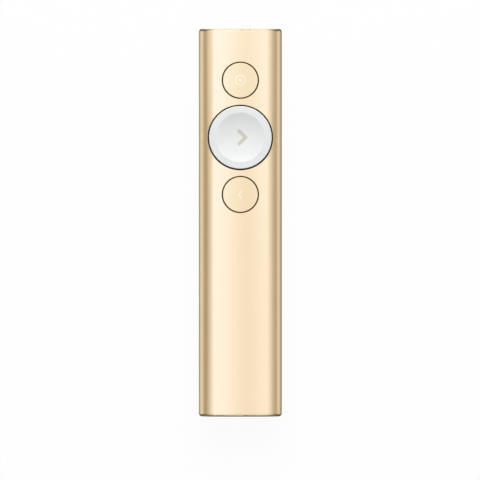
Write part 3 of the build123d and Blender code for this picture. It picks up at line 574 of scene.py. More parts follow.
@dataclass(frozen=True)
class ClearMoulding(Finish):
    """Clear or milky moulding that light goes through."""

    clearness: float = 1.0
    bend: float = 1.49
    flow_size: float = 0.0006
    flow_depth: float = 1.2e-6

    def surface(self, graph: SurfaceGraph) -> None:
        """Adds the clear body and the faint flow lines of its moulding.

        Args:
            graph: The material's graph.
        """
        graph.put("Transmission Weight", self.clearness)
        graph.put("IOR", self.bend)
        self.uneven(graph, size=0.001, amount=0.03)
        graph.relief(graph.place(Effect.STREAKS, Size=self.flow_size, Depth=self.flow_depth)["Height"])
        graph.put("Base Color", self.tinted(graph, size=0.002, deeper=0.94, paler=1.0))


@dataclass(frozen=True)
class BoardLaminate(Finish):
    """Circuit board: solder mask over copper tracks, with small plated vias and bare glass-fibre edges."""

    track: Colour = (0.07, 0.2, 0.1)
    track_scale: float = 420.0
    track_share: float = 0.8
    track_height: float = 2e-5
    plated: Colour = (0.75, 0.6, 0.3)
    via_scale: float = 330.0
    via_rim: tuple[float, float] = (0.07, 0.11)
    via_depth: float = 3e-5
    fibre: Colour = (0.45, 0.42, 0.2)
    flat_face: tuple[float, float] = (0.5, 0.9)

    def surface(self, graph: SurfaceGraph) -> None:
        """Adds the tracks, the vias and the edges.

        Args:
            graph: The material's graph.
        """
        where = graph.add("TexCoord").outputs["Object"]
        feeds = {"Vector": where, "Scale": self.track_scale, "Mortar Size": 0.06, "Mortar Smooth": 0.2}
        feeds |= {"Brick Width": 1.7, "Row Height": 0.32}
        rows = graph.add("TexBrick", feeds, offset=0.37, squash=0.6, squash_frequency=3).outputs["Fac"]
        feeds = {"Vector": where, "Scale": self.via_scale}
        cells = graph.add("TexVoronoi", feeds, feature="F1").outputs["Distance"]
        via = graph.span(cells, *self.via_rim, 1.0, 0.0)
        up = graph.parts(graph.add("NewGeometry").outputs["Normal"])["Z"]
        flat = graph.span(graph.math("ABSOLUTE", up), *self.flat_face)
        mask = graph.mix(graph.math("MULTIPLY", rows, self.track_share), self.colour, self.track)
        mask = graph.mix(via, mask, self.plated)
        graph.put("Base Color", graph.mix(flat, self.fibre, mask))
        graph.put("Metallic", graph.math("MULTIPLY", via, flat))
        raised = graph.math("MULTIPLY", rows, self.track_height)
        graph.relief(graph.math("ADD", raised, graph.math("MULTIPLY", via, -self.via_depth)))
        self.uneven(graph, size=0.004, amount=0.06)


@dataclass(frozen=True)
class FilmSkin(Finish):
    """Thin film or foil that lies over what it covers, a little creased."""

    metal: float = 0.0
    crease_size: float = 0.003
    crease_depth: float = 6e-5
    line_size: float = 0.0005
    line_depth: float = 3e-6
    marked: Colour = (0.5, 0.5, 0.5)

    def surface(self, graph: SurfaceGraph) -> None:
        """Adds soft creases and the film's tone.

        Args:
            graph: The material's graph.
        """
        graph.put("Metallic", self.metal)
        broad = graph.place(Effect.GRAIN, Size=self.crease_size, Depth=self.crease_depth)["Height"]
        fine = graph.place(Effect.STREAKS, Size=self.line_size, Depth=self.line_depth)["Height"]
        graph.relief(graph.math("ADD", broad, fine))
        self.uneven(graph, size=0.003, amount=0.06)
        graph.put("Base Color", self.stained(graph, size=0.004, amount=0.35, stain=self.marked))


@dataclass(frozen=True)
class FiredBody(Finish):
    """Fired or pressed body, such as a chip package, a ceramic part or a magnet."""

    fleck: Colour = (0.2, 0.2, 0.2)
    fleck_size: float = 0.00012
    grain_depth: float = 2e-6
    metal: float = 0.0
    edge_width: float = 0.0001
    edge_wear_and_highlight: float = 0.4

    def surface(self, graph: SurfaceGraph) -> None:
        """Adds flecks, a fine grain and rubbed edges.

        Args:
            graph: The material's graph.
        """
        graph.put("Metallic", self.metal)
        body = self.stained(graph, size=self.fleck_size, amount=0.6, stain=self.fleck)
        mask = graph.place(Effect.EDGE, Width=self.edge_width, Wear=self.edge_wear_and_highlight)["Mask"]
        graph.put("Base Color", graph.mix(mask, body, self.fleck))
        graph.relief(graph.place(Effect.GRAIN, Size=self.fleck_size, Depth=self.grain_depth)["Height"])
        self.uneven(graph, size=0.002, amount=0.05)


GOLD = BlastedMetal("satin_gold", (0.94, 0.775, 0.56), 0.26)
# A deeper copy of the sleeve's gold for the two small caps: painted shade, so that they read a little darker
# than the sleeve.
SHADED_CAP_GOLD = BlastedMetal("shaded_cap_gold", (0.915, 0.76, 0.53), 0.26)
MARK_WHITE = BlastedMetal(
    "burned_mark", (0.99, 0.91, 0.70), 0.32, bright=(1.0, 0.96, 0.80), grain_size=0.0001, edge_wear_and_highlight=0.2
)
KEY_WHITE = MouldedPlastic(
    "key_white",
    (0.85, 0.875, 0.875),
    0.3,
    pebble_size=0.0002,
    pebble_depth=1e-6,
    drift=0.02,
    # The near-white edge colour of this key is a painted highlight along its edges.
    rub_and_highlight=(0.97, 0.97, 0.96),
    edge_width=0.0003,
)
INLAY = MouldedPlastic(
    "pale_gold_inlay", (0.66, 0.63, 0.52), 0.4, pebble_size=0.0001, pebble_depth=1e-6, drift=0.02
)
END_BROWN = MouldedPlastic("end_brown", (0.045, 0.032, 0.022), 0.55, rub_and_highlight=(0.11, 0.085, 0.06))
# Dark brown: partly the frame's own plastic, partly a painted reflection of the gold walls in the gaps round
# the keys.
FRAME_BROWN = MouldedPlastic(
    "frame_brown", (0.05, 0.033, 0.014), 0.62, pebble_depth=8e-6, specular=0.15, dust=0.06
)
CLEAR = ClearMoulding("clear_pipe", (0.93, 0.94, 0.93), 0.12)
SILICONE = ClearMoulding("milky_silicone", (0.72, 0.73, 0.72), 0.5, clearness=0.35, bend=1.41)
SPRING = DrawnMetal("spring_steel", (0.62, 0.61, 0.59), 0.26)
ZINC = DrawnMetal("zinc_steel", (0.55, 0.56, 0.57), 0.38, tarnish=(0.45, 0.43, 0.36), tarnished=0.4)
NICKEL = DrawnMetal("nickel_shell", (0.72, 0.70, 0.66), 0.2)
GILT = DrawnMetal("gilt_contact", (0.86, 0.66, 0.3), 0.22, streak_size=0.0001, tarnished=0.05)
BOARD = BoardLaminate("green_board", (0.022, 0.09, 0.045), 0.35)
CHIP = FiredBody("chip_package", (0.022, 0.022, 0.024), 0.5, fleck=(0.06, 0.06, 0.06))
CERAMIC = FiredBody("chip_ceramic", (0.42, 0.33, 0.23), 0.45, fleck=(0.6, 0.52, 0.4))
MAGNET = FiredBody("magnet", (0.16, 0.16, 0.17), 0.45, fleck=(0.3, 0.3, 0.31), metal=0.7)
SWITCH = MouldedPlastic("switch_grey", (0.12, 0.12, 0.125), 0.5, pebble_size=0.0002, pebble_depth=3e-6)
CONNECTOR = MouldedPlastic(
    "connector_natural", (0.72, 0.68, 0.56), 0.45, pebble_size=0.0003, pebble_depth=2e-6
)
WIRE = MouldedPlastic("wire_red", (0.5, 0.03, 0.025), 0.38, pebble_size=0.0008, pebble_depth=3e-6)
LED = MouldedPlastic("diode_cream", (0.86, 0.84, 0.68), 0.35, pebble_size=0.0002, pebble_depth=1e-6)
FOAM = MouldedPlastic("foam_tape", (0.12, 0.12, 0.12), 0.9, pebble_size=0.0003, pebble_depth=4e-5)
AMBER = FilmSkin("amber_film", (0.62, 0.28, 0.05), 0.3, crease_depth=1e-5, marked=(0.8, 0.45, 0.1))
FOIL = FilmSkin("pouch_foil", (0.74, 0.75, 0.76), 0.34, metal=1.0, marked=(0.6, 0.6, 0.62))


# --------------------------------------------------------------------------------- the workshop
def mesh_object(name: str, shape: bmesh.types.BMesh) -> bpy.types.Object:
    """Makes an object of a mesh and puts it into the scene.

    Args:
        name: The object's name.
        shape: Its mesh, in the frame; it is freed.

    Returns:
        The new object.
    """
    mesh = bpy.data.meshes.new(name)
    shape.to_mesh(mesh)
    shape.free()
    made = bpy.data.objects.new(name, mesh)
    bpy.context.scene.collection.objects.link(made)
    return made


def bridge(shape: bmesh.types.BMesh, rows: list[list[bmesh.types.BMVert]], around: bool = True) -> None:
    """Joins each row of corners to the next with faces.

    Args:
        shape: The mesh to add to.
        rows: The rows, each with as many corners.
        around: Whether each row's last corner joins its first.
    """
    for lower, upper in zip(rows, rows[1:]):
        for step in range(len(lower) if around else len(lower) - 1):
            after = (step + 1) % len(lower)
            shape.faces.new((lower[step], lower[after], upper[after], upper[step]))


def turns(count: int) -> Pairs:
    """Gives the cosine and the sine of evenly spaced turns, once round."""
    angles = (2 * math.pi * step / count for step in range(count))
    return [(math.cos(angle), math.sin(angle)) for angle in angles]


class Slot(Enum):
    """Material slots of the record, one of which each applied piece is passed."""

    GOLD = "gold_aluminium"
    GILT = "gilt_brass"
    SILICONE = "silicone"
    SPRING = "spring_steel"


class Workshop:
    """The loaded frame, and the two things that every sub-assembly does with it."""

    def __init__(self, frame: dict) -> None:
        self.nodes: dict[str, bpy.types.Object] = frame["nodes"]

    def dress(self, finish: Finish, *nodes: str) -> None:
        """Gives CAD parts a finish.

        Args:
            finish: The finish.
            nodes: The parts' names.
        """
        for name in nodes:
            for slot in self.nodes[name].material_slots:
                slot.material = finish.material()
            LOG.info("dressed %s in %s", name, finish.name)

    def apply(
        self, name: str, shape: bmesh.types.BMesh, body: str, slot: Slot, finish: Finish
    ) -> bpy.types.Object:
        """Makes an applied piece and sets it on a body.

        Args:
            name: The piece's name.
            shape: Its mesh, in the frame; it is freed.
            body: The body it moves with.
            slot: The record's material slot; not used.
            finish: Its finish.

        Returns:
            The new piece.
        """
        bmesh.ops.recalc_face_normals(shape, faces=shape.faces)
        piece = mesh_object(name, shape)
        piece.data.materials.append(finish.material())
        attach(piece, body)
        LOG.info("applied %s on %s", name, body)
        return piece


@dataclass(frozen=True)
class Crown:
    """The front's gentle crown, which the caps and the marks on them follow."""

    radius: float = 70.0 * MM
    top: float = 12.1 * MM

    def height(self, x: float, above: float = 0.0) -> float:
        """Gives the height at x from the middle, of the crown itself or so far above it."""
        return self.top - self.radius + math.sqrt((self.radius + above) ** 2 - x**2)


# --------------------------------------------------------------------------------- sub-assemblies
@dataclass
class Sleeve:
    """The aluminium sleeve."""

    def build(self, shop: Workshop) -> None:
        """Dresses the sleeve."""
        shop.dress(GOLD, "body_sleeve")


@dataclass(frozen=True)
class Key:
    """One key's place and travel, and the radii of the silicone ring that lifts it."""

    name: str
    y: float
    travel: float
    ring_inner: float
    ring_outer: float


@dataclass
class ButtonGroup:
    """The three buttons: caps, their marks, and the works under them."""

    crown: Crown = Crown()
    keys: tuple[Key, ...] = (
        Key("pointer", 48.15 * MM, 0.35 * MM, 4.5 * MM, 5.3 * MM),
        Key("next", 28.8 * MM, 0.4 * MM, 9.1 * MM, 10.0 * MM),
        Key("back", 9.5 * MM, 0.35 * MM, 4.5 * MM, 5.3 * MM),
    )
    board_top: float = 5.8 * MM
    flange: float = 7.85 * MM
    ring_waist: float = 0.17 * MM
    ring_round: float = 0.06 * MM
    ring_foot: float = 0.175  # the straight foot's share of the ring's height, and the lip's
    ring_slope: float = 0.325  # where the slope from the foot to the waist ends, as such a share
    dome_floor: float = 6.2 * MM
    dome_top: float = 6.8 * MM
    dome_radius: float = 1.7 * MM
    dome_thick: float = 0.08 * MM
    dome_dimple: float = 0.35 * MM
    dome_middle: float = 0.06  # the innermost loop's share of the rim's radius
    dome_steps: int = 12
    proud: float = 0.15 * MM
    etched: float = 0.08 * MM
    fill: float = 0.065 * MM
    soft_edge: float = 0.02 * MM
    ring_inner: float = 1.4 * MM
    ring_outer: float = 1.85 * MM
    dot: float = 0.55 * MM
    arrow_reach: float = 0.85 * MM
    arrow_height: float = 2.9 * MM
    arrow_stroke: float = 0.42 * MM
    arrow_x: float = 0.45 * MM
    segments: int = 64

    def build(self, shop: Workshop) -> None:
        """Dresses the keys and fills the marks etched into the two small caps.

        Args:
            shop: The workshop.
        """
        shop.dress(SHADED_CAP_GOLD, "pointer_button", "back_button")
        shop.dress(KEY_WHITE, "next_button")
        shop.dress(INLAY, "next_button_mark")
        shop.dress(FRAME_BROWN, "button_frame")
        for key in self.keys:
            shop.dress(FRAME_BROWN, f"{key.name}_carrier")
            shop.dress(SILICONE, f"{key.name}_return_ring")
            shop.dress(SWITCH, f"{key.name}_switch_body", f"{key.name}_switch_stem")
            shop.dress(SPRING, f"{key.name}_snap_dome")
            self._lift(shop, key)
        shop.apply("pointer_mark", self._ring_and_dot(), "pointer_key", Slot.GOLD, MARK_WHITE)
        shop.apply("back_mark", self._arrow(), "back_key", Slot.GOLD, MARK_WHITE)

    def _lift(self, shop: Workshop, key: Key) -> None:
        """Makes a key's silicone ring and snap dome, in place of the CAD ones.

        Args:
            shop: The workshop.
            key: The key.
        """
        ring = bmesh.new()
        self._spin(ring, key.y, self._ring_section(key), closed=True)
        piece = shop.apply(f"{key.name}_soft_ring", ring, "casing", Slot.SILICONE, SILICONE)
        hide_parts(f"{key.name}_return_ring")
        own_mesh(piece)
        dome = bmesh.new()
        self._spin(dome, key.y, self._dome_section(), closed=False)
        piece = shop.apply(f"{key.name}_click_dome", dome, "casing", Slot.SPRING, SPRING)
        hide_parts(f"{key.name}_snap_dome")
        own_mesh(piece)

    def _ring_section(self, key: Key) -> Pairs:
        """Gives the silicone ring's cross-section: a broad foot, a waist that gives, and a lip under the key.

        Args:
            key: The key.

        Returns:
            Radii, each with its height.
        """
        low, high, waist, soft = self.board_top, self.flange, self.ring_waist, self.ring_round
        foot, slope = self.ring_foot * (high - low), self.ring_slope * (high - low)
        side = [
            (soft, low),
            (0.0, low + soft),
            (0.0, low + foot),
            (waist, low + slope),
            (waist, high - slope),
            (soft, high - foot),
            (soft, high - soft),
            (2 * soft, high),
        ]
        inner = [(key.ring_inner + inset, z) for inset, z in side]
        return inner + [(key.ring_outer - inset, z) for inset, z in reversed(side)]

    def _dome_section(self) -> Pairs:
        """Gives the snap dome's cross-section: a thin shell with a dimple under the stem.

        Returns:
            Radii, each with its height, over the top and back underneath.
        """
        rise = self.dome_top - self.dome_floor
        sphere = (self.dome_radius**2 + rise**2) / (2 * rise)
        middle = self.dome_top - sphere
        shares = [step / self.dome_steps for step in range(self.dome_steps + 1)]
        section = []
        for skin in (sphere, sphere - self.dome_thick):
            rim = math.sqrt(skin**2 - (self.dome_floor - middle) ** 2)
            run = [rim * (self.dome_middle + (1.0 - self.dome_middle) * share) for share in shares]
            shell = [(r, middle + math.sqrt(skin**2 - r**2) - self._dimple(r)) for r in run]
            section += shell if skin == sphere else shell[::-1]
        return section

    def _dimple(self, radius: float) -> float:
        """Gives how far the dome's middle is pressed in at a radius."""
        depth = self.dome_thick / 2
        return depth * max(0.0, 1.0 - (radius / self.dome_dimple) ** 2) ** 2

    def _spin(
        self, shape: bmesh.types.BMesh, y: float, section: Pairs, closed: bool, crowned: bool = False
    ) -> None:
        """Turns a cross-section about a key's middle.

        Args:
            shape: The mesh to add to.
            y: The key's middle.
            section: Radii, each with its height.
            closed: Whether the section closes on itself; otherwise faces close its first and last loops.
            crowned: Whether the heights are over the sleeve's crown, which the mesh then follows.
        """
        loops = []
        for radius, height in section:
            loop = []
            for cosine, sine in turns(self.segments):
                x = radius * cosine
                z = self.crown.height(x, height) if crowned else height
                loop.append(shape.verts.new((x, y + radius * sine, z)))
            loops.append(loop)
        if not closed:
            shape.faces.new(loops[0])
            shape.faces.new(loops[-1])
        bridge(shape, loops + loops[:1] if closed else loops)

    def _stroke(self, low: float, high: float) -> Pairs:
        """Gives the cross-section of a filled stroke, with softened upper edges.

        Args:
            low: Where the stroke starts across its width.
            high: Where it ends.

        Returns:
            Places across the stroke, each with its height over the sleeve's crown: from the pocket's floor
            up one side, over the top and down the other.
        """
        floor = self.proud - self.etched
        top = floor + self.fill
        edge = self.soft_edge
        first_side = [(low, floor), (low, top - edge), (low + edge, top)]
        return first_side + [(high - edge, top), (high, top - edge), (high, floor)]

    def _middle(self, name: str) -> float:
        """Gives where a key's middle is along the clicker."""
        return next(key.y for key in self.keys if key.name == name)

    def _ring_and_dot(self) -> bmesh.types.BMesh:
        """Makes the pointer's mark, a dot in a ring.

        Returns:
            The mark's mesh, in the frame.
        """
        shape = bmesh.new()
        y = self._middle("pointer")
        self._spin(shape, y, self._stroke(self.ring_inner, self.ring_outer), closed=True, crowned=True)
        across = self._stroke(-self.dot, self.dot)
        outer_half = across[len(across) // 2 :]  # spun round the dot's middle, it makes the whole dot
        self._spin(shape, y, outer_half, closed=False, crowned=True)
        return shape

    def _arrow(self) -> bmesh.types.BMesh:
        """Makes the back key's arrow.

        Returns:
            The mark's mesh, in the frame.
        """
        shape = bmesh.new()
        rise = self.arrow_height / 2
        arm = math.hypot(self.arrow_reach, rise)
        half = self.arrow_stroke / 2
        middle = self._middle("back")
        rows = []
        for across, above in self._stroke(-half, half):
            side, out, tip = across * rise / arm, across * self.arrow_reach / arm, across * arm / rise
            plan = ((side, rise + out), (self.arrow_reach + tip, 0.0), (side, -rise - out))
            row = []
            for along, y in plan:
                x = self.arrow_x - along
                row.append(shape.verts.new((x, middle - y, self.crown.height(x, above))))
            rows.append(row)
        bridge(shape, rows + rows[:1], around=False)
        for end in (0, -1):
            shape.faces.new([row[end] for row in rows])
        return shape


@dataclass
class Ends:
    """The nose cap with its light pipe, and the tail bezel with its screws."""

    def build(self, shop: Workshop) -> None:
        """Dresses both ends.

        Args:
            shop: The workshop.
        """
        shop.dress(END_BROWN, "nose_cap", "tail_bezel")
        shop.dress(CLEAR, "light_pipe")
        shop.dress(ZINC, "tail_screws")


@dataclass
class ChargingPort:
    """The charging socket's shell and tongue, with the gilt pads on both faces of the tongue."""

    pads: int = 12
    pitch: float = 0.5 * MM
    width: float = 0.26 * MM
    front: float = -64.2 * MM
    back: float = -60.2 * MM
    middle: float = 3.35 * MM
    half_height: float = 0.35 * MM
    proud: float = 0.03 * MM
    sunk: float = 0.02 * MM
    soft_edge: float = 0.02 * MM
    round_steps: int = 6

    def build(self, shop: Workshop) -> None:
        """Dresses the socket and lays the pads on its tongue.

        Args:
            shop: The workshop.
        """
        shop.dress(NICKEL, "usb_socket_shell")
        shop.dress(CHIP, "usb_socket_tongue")
        shape = bmesh.new()
        for side in (-1, 1):
            for number in range(self.pads):
                self._pad(shape, (number - (self.pads - 1) / 2) * self.pitch, side)
        shop.apply("usb_tongue_contacts", shape, "casing", Slot.GILT, GILT)

    def _pad(self, shape: bmesh.types.BMesh, x: float, side: int) -> None:
        """Adds one pad with softened upper edges and a rounded front.

        Args:
            shape: The mesh to add to.
            x: Its middle across the tongue.
            side: 1 for the upper face of the tongue, -1 for the lower.
        """
        edge = self.soft_edge
        rings = []
        for height, inset in ((-self.sunk, 0.0), (self.proud - edge, 0.0), (self.proud, edge)):
            half, front, back = self.width / 2 - inset, self.front + inset, self.back - inset
            plan = [(half, back), (-half, back)]
            for step in range(self.round_steps + 1):
                turn = math.pi * step / self.round_steps
                plan.append((-half * math.cos(turn), front + half - half * math.sin(turn)))
            z = self.middle + side * (self.half_height + height)
            rings.append([shape.verts.new((x + across, y, z)) for across, y in plan])
        bridge(shape, rings)
        shape.faces.new(rings[0])
        shape.faces.new(rings[-1])


@dataclass
class Receiver:
    """The docked USB receiver and the bay that holds it."""

    def build(self, shop: Workshop) -> None:
        """Dresses the receiver and its dock.

        Args:
            shop: The workshop.
        """
        shop.dress(END_BROWN, "receiver_case", "receiver_lid")
        shop.dress(NICKEL, "receiver_plug_shell")
        shop.dress(FRAME_BROWN, "receiver_plug_tongue", "receiver_dock")
        shop.dress(GILT, "receiver_contacts")
        shop.dress(BOARD, "receiver_board")
        shop.dress(SPRING, "dock_springs")


@dataclass
class Works:
    """Chassis, boards, battery and motor inside the sleeve."""

    def build(self, shop: Workshop) -> None:
        """Dresses everything inside.

        Args:
            shop: The workshop.
        """
        shop.dress(FRAME_BROWN, "chassis")
        shop.dress(BOARD, "main_board", "usb_board", "battery_circuit")
        shop.dress(CHIP, "controller_chip", "motion_sensor", "charger_chip")
        shop.dress(CERAMIC, "board_passives", "antenna")
        shop.dress(NICKEL, "rf_shield", "motor_case")
        shop.dress(ZINC, "board_screws", "usb_board_screws", "motor_base", "motor_shaft")
        shop.dress(AMBER, "ribbon_cable")
        shop.dress(CONNECTOR, "ribbon_connectors", "battery_socket", "battery_plug")
        shop.dress(FOIL, "battery_cell")
        shop.dress(WIRE, "battery_leads")
        shop.dress(LED, "status_led")
        shop.dress(FOAM, "adhesive_pads")
        shop.dress(MAGNET, "motor_magnet", "motor_rotor")


# --------------------------------------------------------------------------------- the studio
@dataclass(frozen=True)
class Glow:
    """How bright and how warm the studio is at one place.

    The place is an angle in degrees across the clicker from straight up, for the room's light, or a distance
    in metres out from the clicker's foot over the table, for the shade and light painted on the table.
    """

    where: float
    colour: Colour


@dataclass(frozen=True)
class SoftBox:
    """A lamp of the studio; a card is a small one that only shows in what is glossy."""

    name: str
    place: Point
    size: tuple[float, float]
    power: float
    colour: Colour = (1.0, 1.0, 1.0)
    card: bool = False
    target: Point = (0.0, 0.0, 0.0)

    def hang(self) -> None:
        """Makes the lamp, facing its target."""
        data = bpy.data.lights.new(self.name, "AREA")
        data.shape = "RECTANGLE"
        data.size, data.size_y = self.size
        data.energy = self.power
        data.color = self.colour
        lamp = bpy.data.objects.new(self.name, data)
        lamp.location = self.place
        way = Vector(self.target) - Vector(self.place)
        lamp.rotation_euler = way.to_track_quat("-Z", "Y").to_euler()
        lamp.visible_camera = False
        lamp.visible_glossy = self.card
        lamp.visible_diffuse = not self.card
        bpy.context.scene.collection.objects.link(lamp)


@dataclass
class Studio:
    """A white table under soft boxes, painted with shade and glow that only metal and glass see, and a camera
    straight above.
    """

    eye: Point = (-0.00012, -0.00590, 3.0058)
    aim_height: float = 0.0058
    view_width: float = 0.16266
    sensor: float = 36.0
    clip: tuple[float, float] = (0.01, 100.0)
    floor_radius: float = 3.0
    floor_corners: int = 128
    floor_drop: float = 0.00002
    back_face: tuple[float, float] = (0.0080, 0.0645)  # half the width and length of the clear patch
    back_soft: float = 0.0013  # how far its edge is soft to either side
    floor_colour: Colour = (0.95, 0.95, 0.95)
    floor_lift: float = 0.94
    foot: tuple[float, float] = (0.014, 0.0656)  # half the clicker's width and length on the table
    # The next fields paint shade and light onto the table as metal and glass see it: a painted contact shadow
    # at the clicker's foot, a painted band of light about 16 mm out and dimmer beyond, spread further to one
    # side than the other.
    painted_shading_span: float = 0.12
    side_reach: tuple[float, float] = (1.12, 0.74)  # what distances to the left and right are multiplied by
    side_turn: float = 0.01  # how far each side of the middle the one turns into the other
    painted_table_shading: tuple[Glow, ...] = (
        Glow(0.0, (0.198, 0.183, 0.143)),
        Glow(0.004, (0.326, 0.308, 0.250)),
        Glow(0.009, (0.574, 0.538, 0.464)),
        Glow(0.016, (0.98, 0.92, 0.80)),
        Glow(0.034, (0.791, 0.740, 0.625)),
        Glow(0.12, (0.594, 0.548, 0.437)),
    )
    fill_share: float = 0.56
    boxes: tuple[SoftBox, ...] = (
        SoftBox("key_softbox", (0.0, 0.95, 0.7), (1.3, 0.9), 12.5),
        SoftBox(
            "nose_left_card",
            (-0.15, 0.10, 0.11),
            (0.14, 0.09),
            0.0062,
            colour=(1.0, 0.86, 0.72),
            card=True,
            target=(-0.01, 0.065, 0.006),
        ),
        SoftBox(
            "nose_top_card",
            (0.012, 0.11, 0.3),
            (0.24, 0.14),
            0.0165,
            colour=(0.35, 0.6, 1.0),
            card=True,
            target=(0.0, 0.065, 0.012),
        ),
    )
    peak: float = 1.6
    lengthwise: tuple[tuple[float, float], ...] = (
        (-1.0, 0.62),
        (-0.93, 0.68),
        (-0.84, 0.80),
        (-0.35, 0.92),
        (0.0, 1.0),
        (0.2, 1.06),
        (0.7, 1.12),
        (1.0, 1.18),
    )
    lengthwise_peak: float = 1.2
    skewed: tuple[float, float] = (0.35, 0.8)  # from nearly along or across the clicker to diagonal
    level_ways: tuple[float, float] = (0.12, 0.45)  # how steep a way is, from level to no longer so
    corner_dim: float = 0.6
    # How much painted shade the table gets off the clicker's corners, as metal sees it.
    painted_corner_shade: float = 0.8
    end_on: tuple[float, float] = (0.7, 0.95)  # from beside the clicker to straight off its ends
    # A painted glow on the table straight off the nose, and a painted shadow straight off the tail, both seen
    # only in metal and glass.
    painted_nose_glow: Colour = (1.12, 1.12, 1.12)
    nose_start: tuple[float, float] = (0.0004, 0.0035)  # how far off the nose its glow comes in
    painted_tail_shadow: Colour = (0.03, 0.03, 0.02)
    across: tuple[Glow, ...] = (
        Glow(-180.0, (0.890, 0.865, 0.804)),
        Glow(-96.0, (0.841, 0.798, 0.696)),
        Glow(-86.0, (0.435, 0.385, 0.277)),
        Glow(-70.0, (0.435, 0.385, 0.277)),
        Glow(-58.0, (0.554, 0.519, 0.429)),
        Glow(-44.0, (0.732, 0.711, 0.643)),
        Glow(-26.0, (0.970, 0.961, 0.946)),
        Glow(-18.0, (1.247, 1.285, 1.450)),
        Glow(-9.0, (1.128, 1.180, 1.370)),
        Glow(0.0, (0.989, 0.935, 0.830)),
        Glow(5.0, (0.865, 0.785, 0.630)),
        Glow(13.0, (1.108, 1.135, 1.220)),
        Glow(18.0, (1.167, 1.195, 1.300)),
        Glow(26.0, (1.009, 1.000, 0.982)),
        Glow(45.0, (0.811, 0.769, 0.688)),
        Glow(60.0, (0.613, 0.577, 0.473)),
        Glow(74.0, (0.495, 0.442, 0.330)),
        Glow(86.0, (0.495, 0.442, 0.330)),
        Glow(96.0, (0.791, 0.750, 0.652)),
        Glow(180.0, (0.890, 0.865, 0.804)),
    )

    def build(self) -> None:
        """Sets up the view, the room, the lamps, the table and the camera."""
        bpy.context.scene.view_settings.view_transform = "Standard"
        self._room()
        for box in self.boxes:
            box.hang()
        self._table()
        self._camera()

    def _diagonal(self, graph: Graph, way: bpy.types.NodeOutputs) -> bpy.types.NodeSocket:
        """Gives 1 where a way is diagonal to the clicker, and 0 along or across it.

        Args:
            graph: The tree.
            way: The way's parts.

        Returns:
            The output socket.
        """
        x, y = way["X"], way["Y"]
        product = graph.math("ABSOLUTE", graph.math("MULTIPLY", x, y))
        square = graph.math("ADD", graph.math("MULTIPLY", x, x), graph.math("MULTIPLY", y, y))
        skew = graph.math("DIVIDE", graph.math("MULTIPLY", product, 2.0), graph.math("ADD", square, TINY))
        return graph.span(skew, *self.skewed)

    def _room(self) -> None:
        """Makes the world: soft boxes overhead, a dimmer room at the sides, and white to the camera."""
        world = bpy.data.worlds.new("studio_room")
        world.use_nodes = True
        graph = Graph(world.node_tree)
        way = graph.parts(graph.add("TexCoord").outputs["Generated"])
        turn = graph.math("ARCTAN2", way["X"], way["Z"])
        share = graph.math("ADD", graph.math("DIVIDE", turn, 2 * math.pi), 0.5)
        stops = [(g.where / 360.0 + 0.5, tuple(c / self.peak for c in g.colour)) for g in self.across]
        along = graph.math("MULTIPLY", self._along(graph, way), self.peak)
        shaped = graph.math("MULTIPLY_ADD", graph.rays()["Is Diffuse Ray"], self.fill_share - 1.0, 1.0)
        level = graph.math("MULTIPLY", along, shaped)
        light = graph.light("Background", graph.ramp(share, stops), level)
        white = graph.light("Background", (1.0, 1.0, 1.0))
        both = graph.fade(graph.rays()["Is Camera Ray"], light, white)
        graph.add("OutputWorld", {"Surface": both})
        bpy.context.scene.world = world

    def _along(self, graph: Graph, way: bpy.types.NodeOutputs) -> bpy.types.NodeSocket:
        """Gives how bright the room is along the clicker, dimmer in its low corners.

        Args:
            graph: The world's graph.
            way: The parts of the way that is looked in.

        Returns:
            The brightness's socket.
        """
        place = graph.math("MULTIPLY_ADD", way["Y"], 0.5, 0.5)
        stops = [((y + 1.0) / 2.0, (level / self.lengthwise_peak,) * 3) for y, level in self.lengthwise]
        along = graph.math("MULTIPLY", graph.ramp(place, stops), self.lengthwise_peak)
        low = graph.span(graph.math("ABSOLUTE", way["Z"]), *self.level_ways, 1.0, 0.0)
        corner = graph.math("MULTIPLY", self._diagonal(graph, way), low)
        dim = graph.math("MULTIPLY", corner, self.corner_dim)
        return graph.math("MULTIPLY", along, graph.math("SUBTRACT", 1.0, dim))

    def _table(self) -> None:
        """Lays the white table, clear under the clicker's flat back, which can then be seen from below."""
        shape = bmesh.new()
        radius = self.floor_radius
        rim = []
        for cosine, sine in turns(self.floor_corners):
            rim.append(shape.verts.new((radius * cosine, radius * sine, -self.floor_drop)))
        shape.faces.new(rim)
        table = mesh_object("studio_table", shape)
        material = bpy.data.materials.new("table_white")
        material.use_nodes = True
        graph = Graph(material.node_tree)
        spot = graph.add("TexCoord").outputs["Object"]
        where = graph.vector("ABSOLUTE", spot)
        rays = graph.rays()
        # Metal and glass see the table's painted shade and glow instead of its white paint.
        mirrored = graph.math("MAXIMUM", rays["Is Glossy Ray"], rays["Is Transmission Ray"])
        top = graph.fade(mirrored, self._paint(graph), self._painted_reflection(graph, spot, where))
        nothing = graph.add("BsdfTransparent").outputs[0]
        whole = graph.fade(self._clear(graph, where), top, nothing)
        graph.add("OutputMaterial", {"Surface": whole})
        table.data.materials.append(material)

    def _paint(self, graph: Graph) -> bpy.types.NodeSocket:
        """Gives the table's white paint, which the camera sees lifted nearly to full white.

        Args:
            graph: The table's graph.

        Returns:
            The shader's socket.
        """
        lit = graph.add("BsdfDiffuse", {"Color": (*self.floor_colour, 1.0)}).outputs[0]
        looked_at = graph.math("MULTIPLY", graph.rays()["Is Camera Ray"], self.floor_lift)
        return graph.fade(looked_at, lit, graph.light("Emission", (1.0, 1.0, 1.0)))

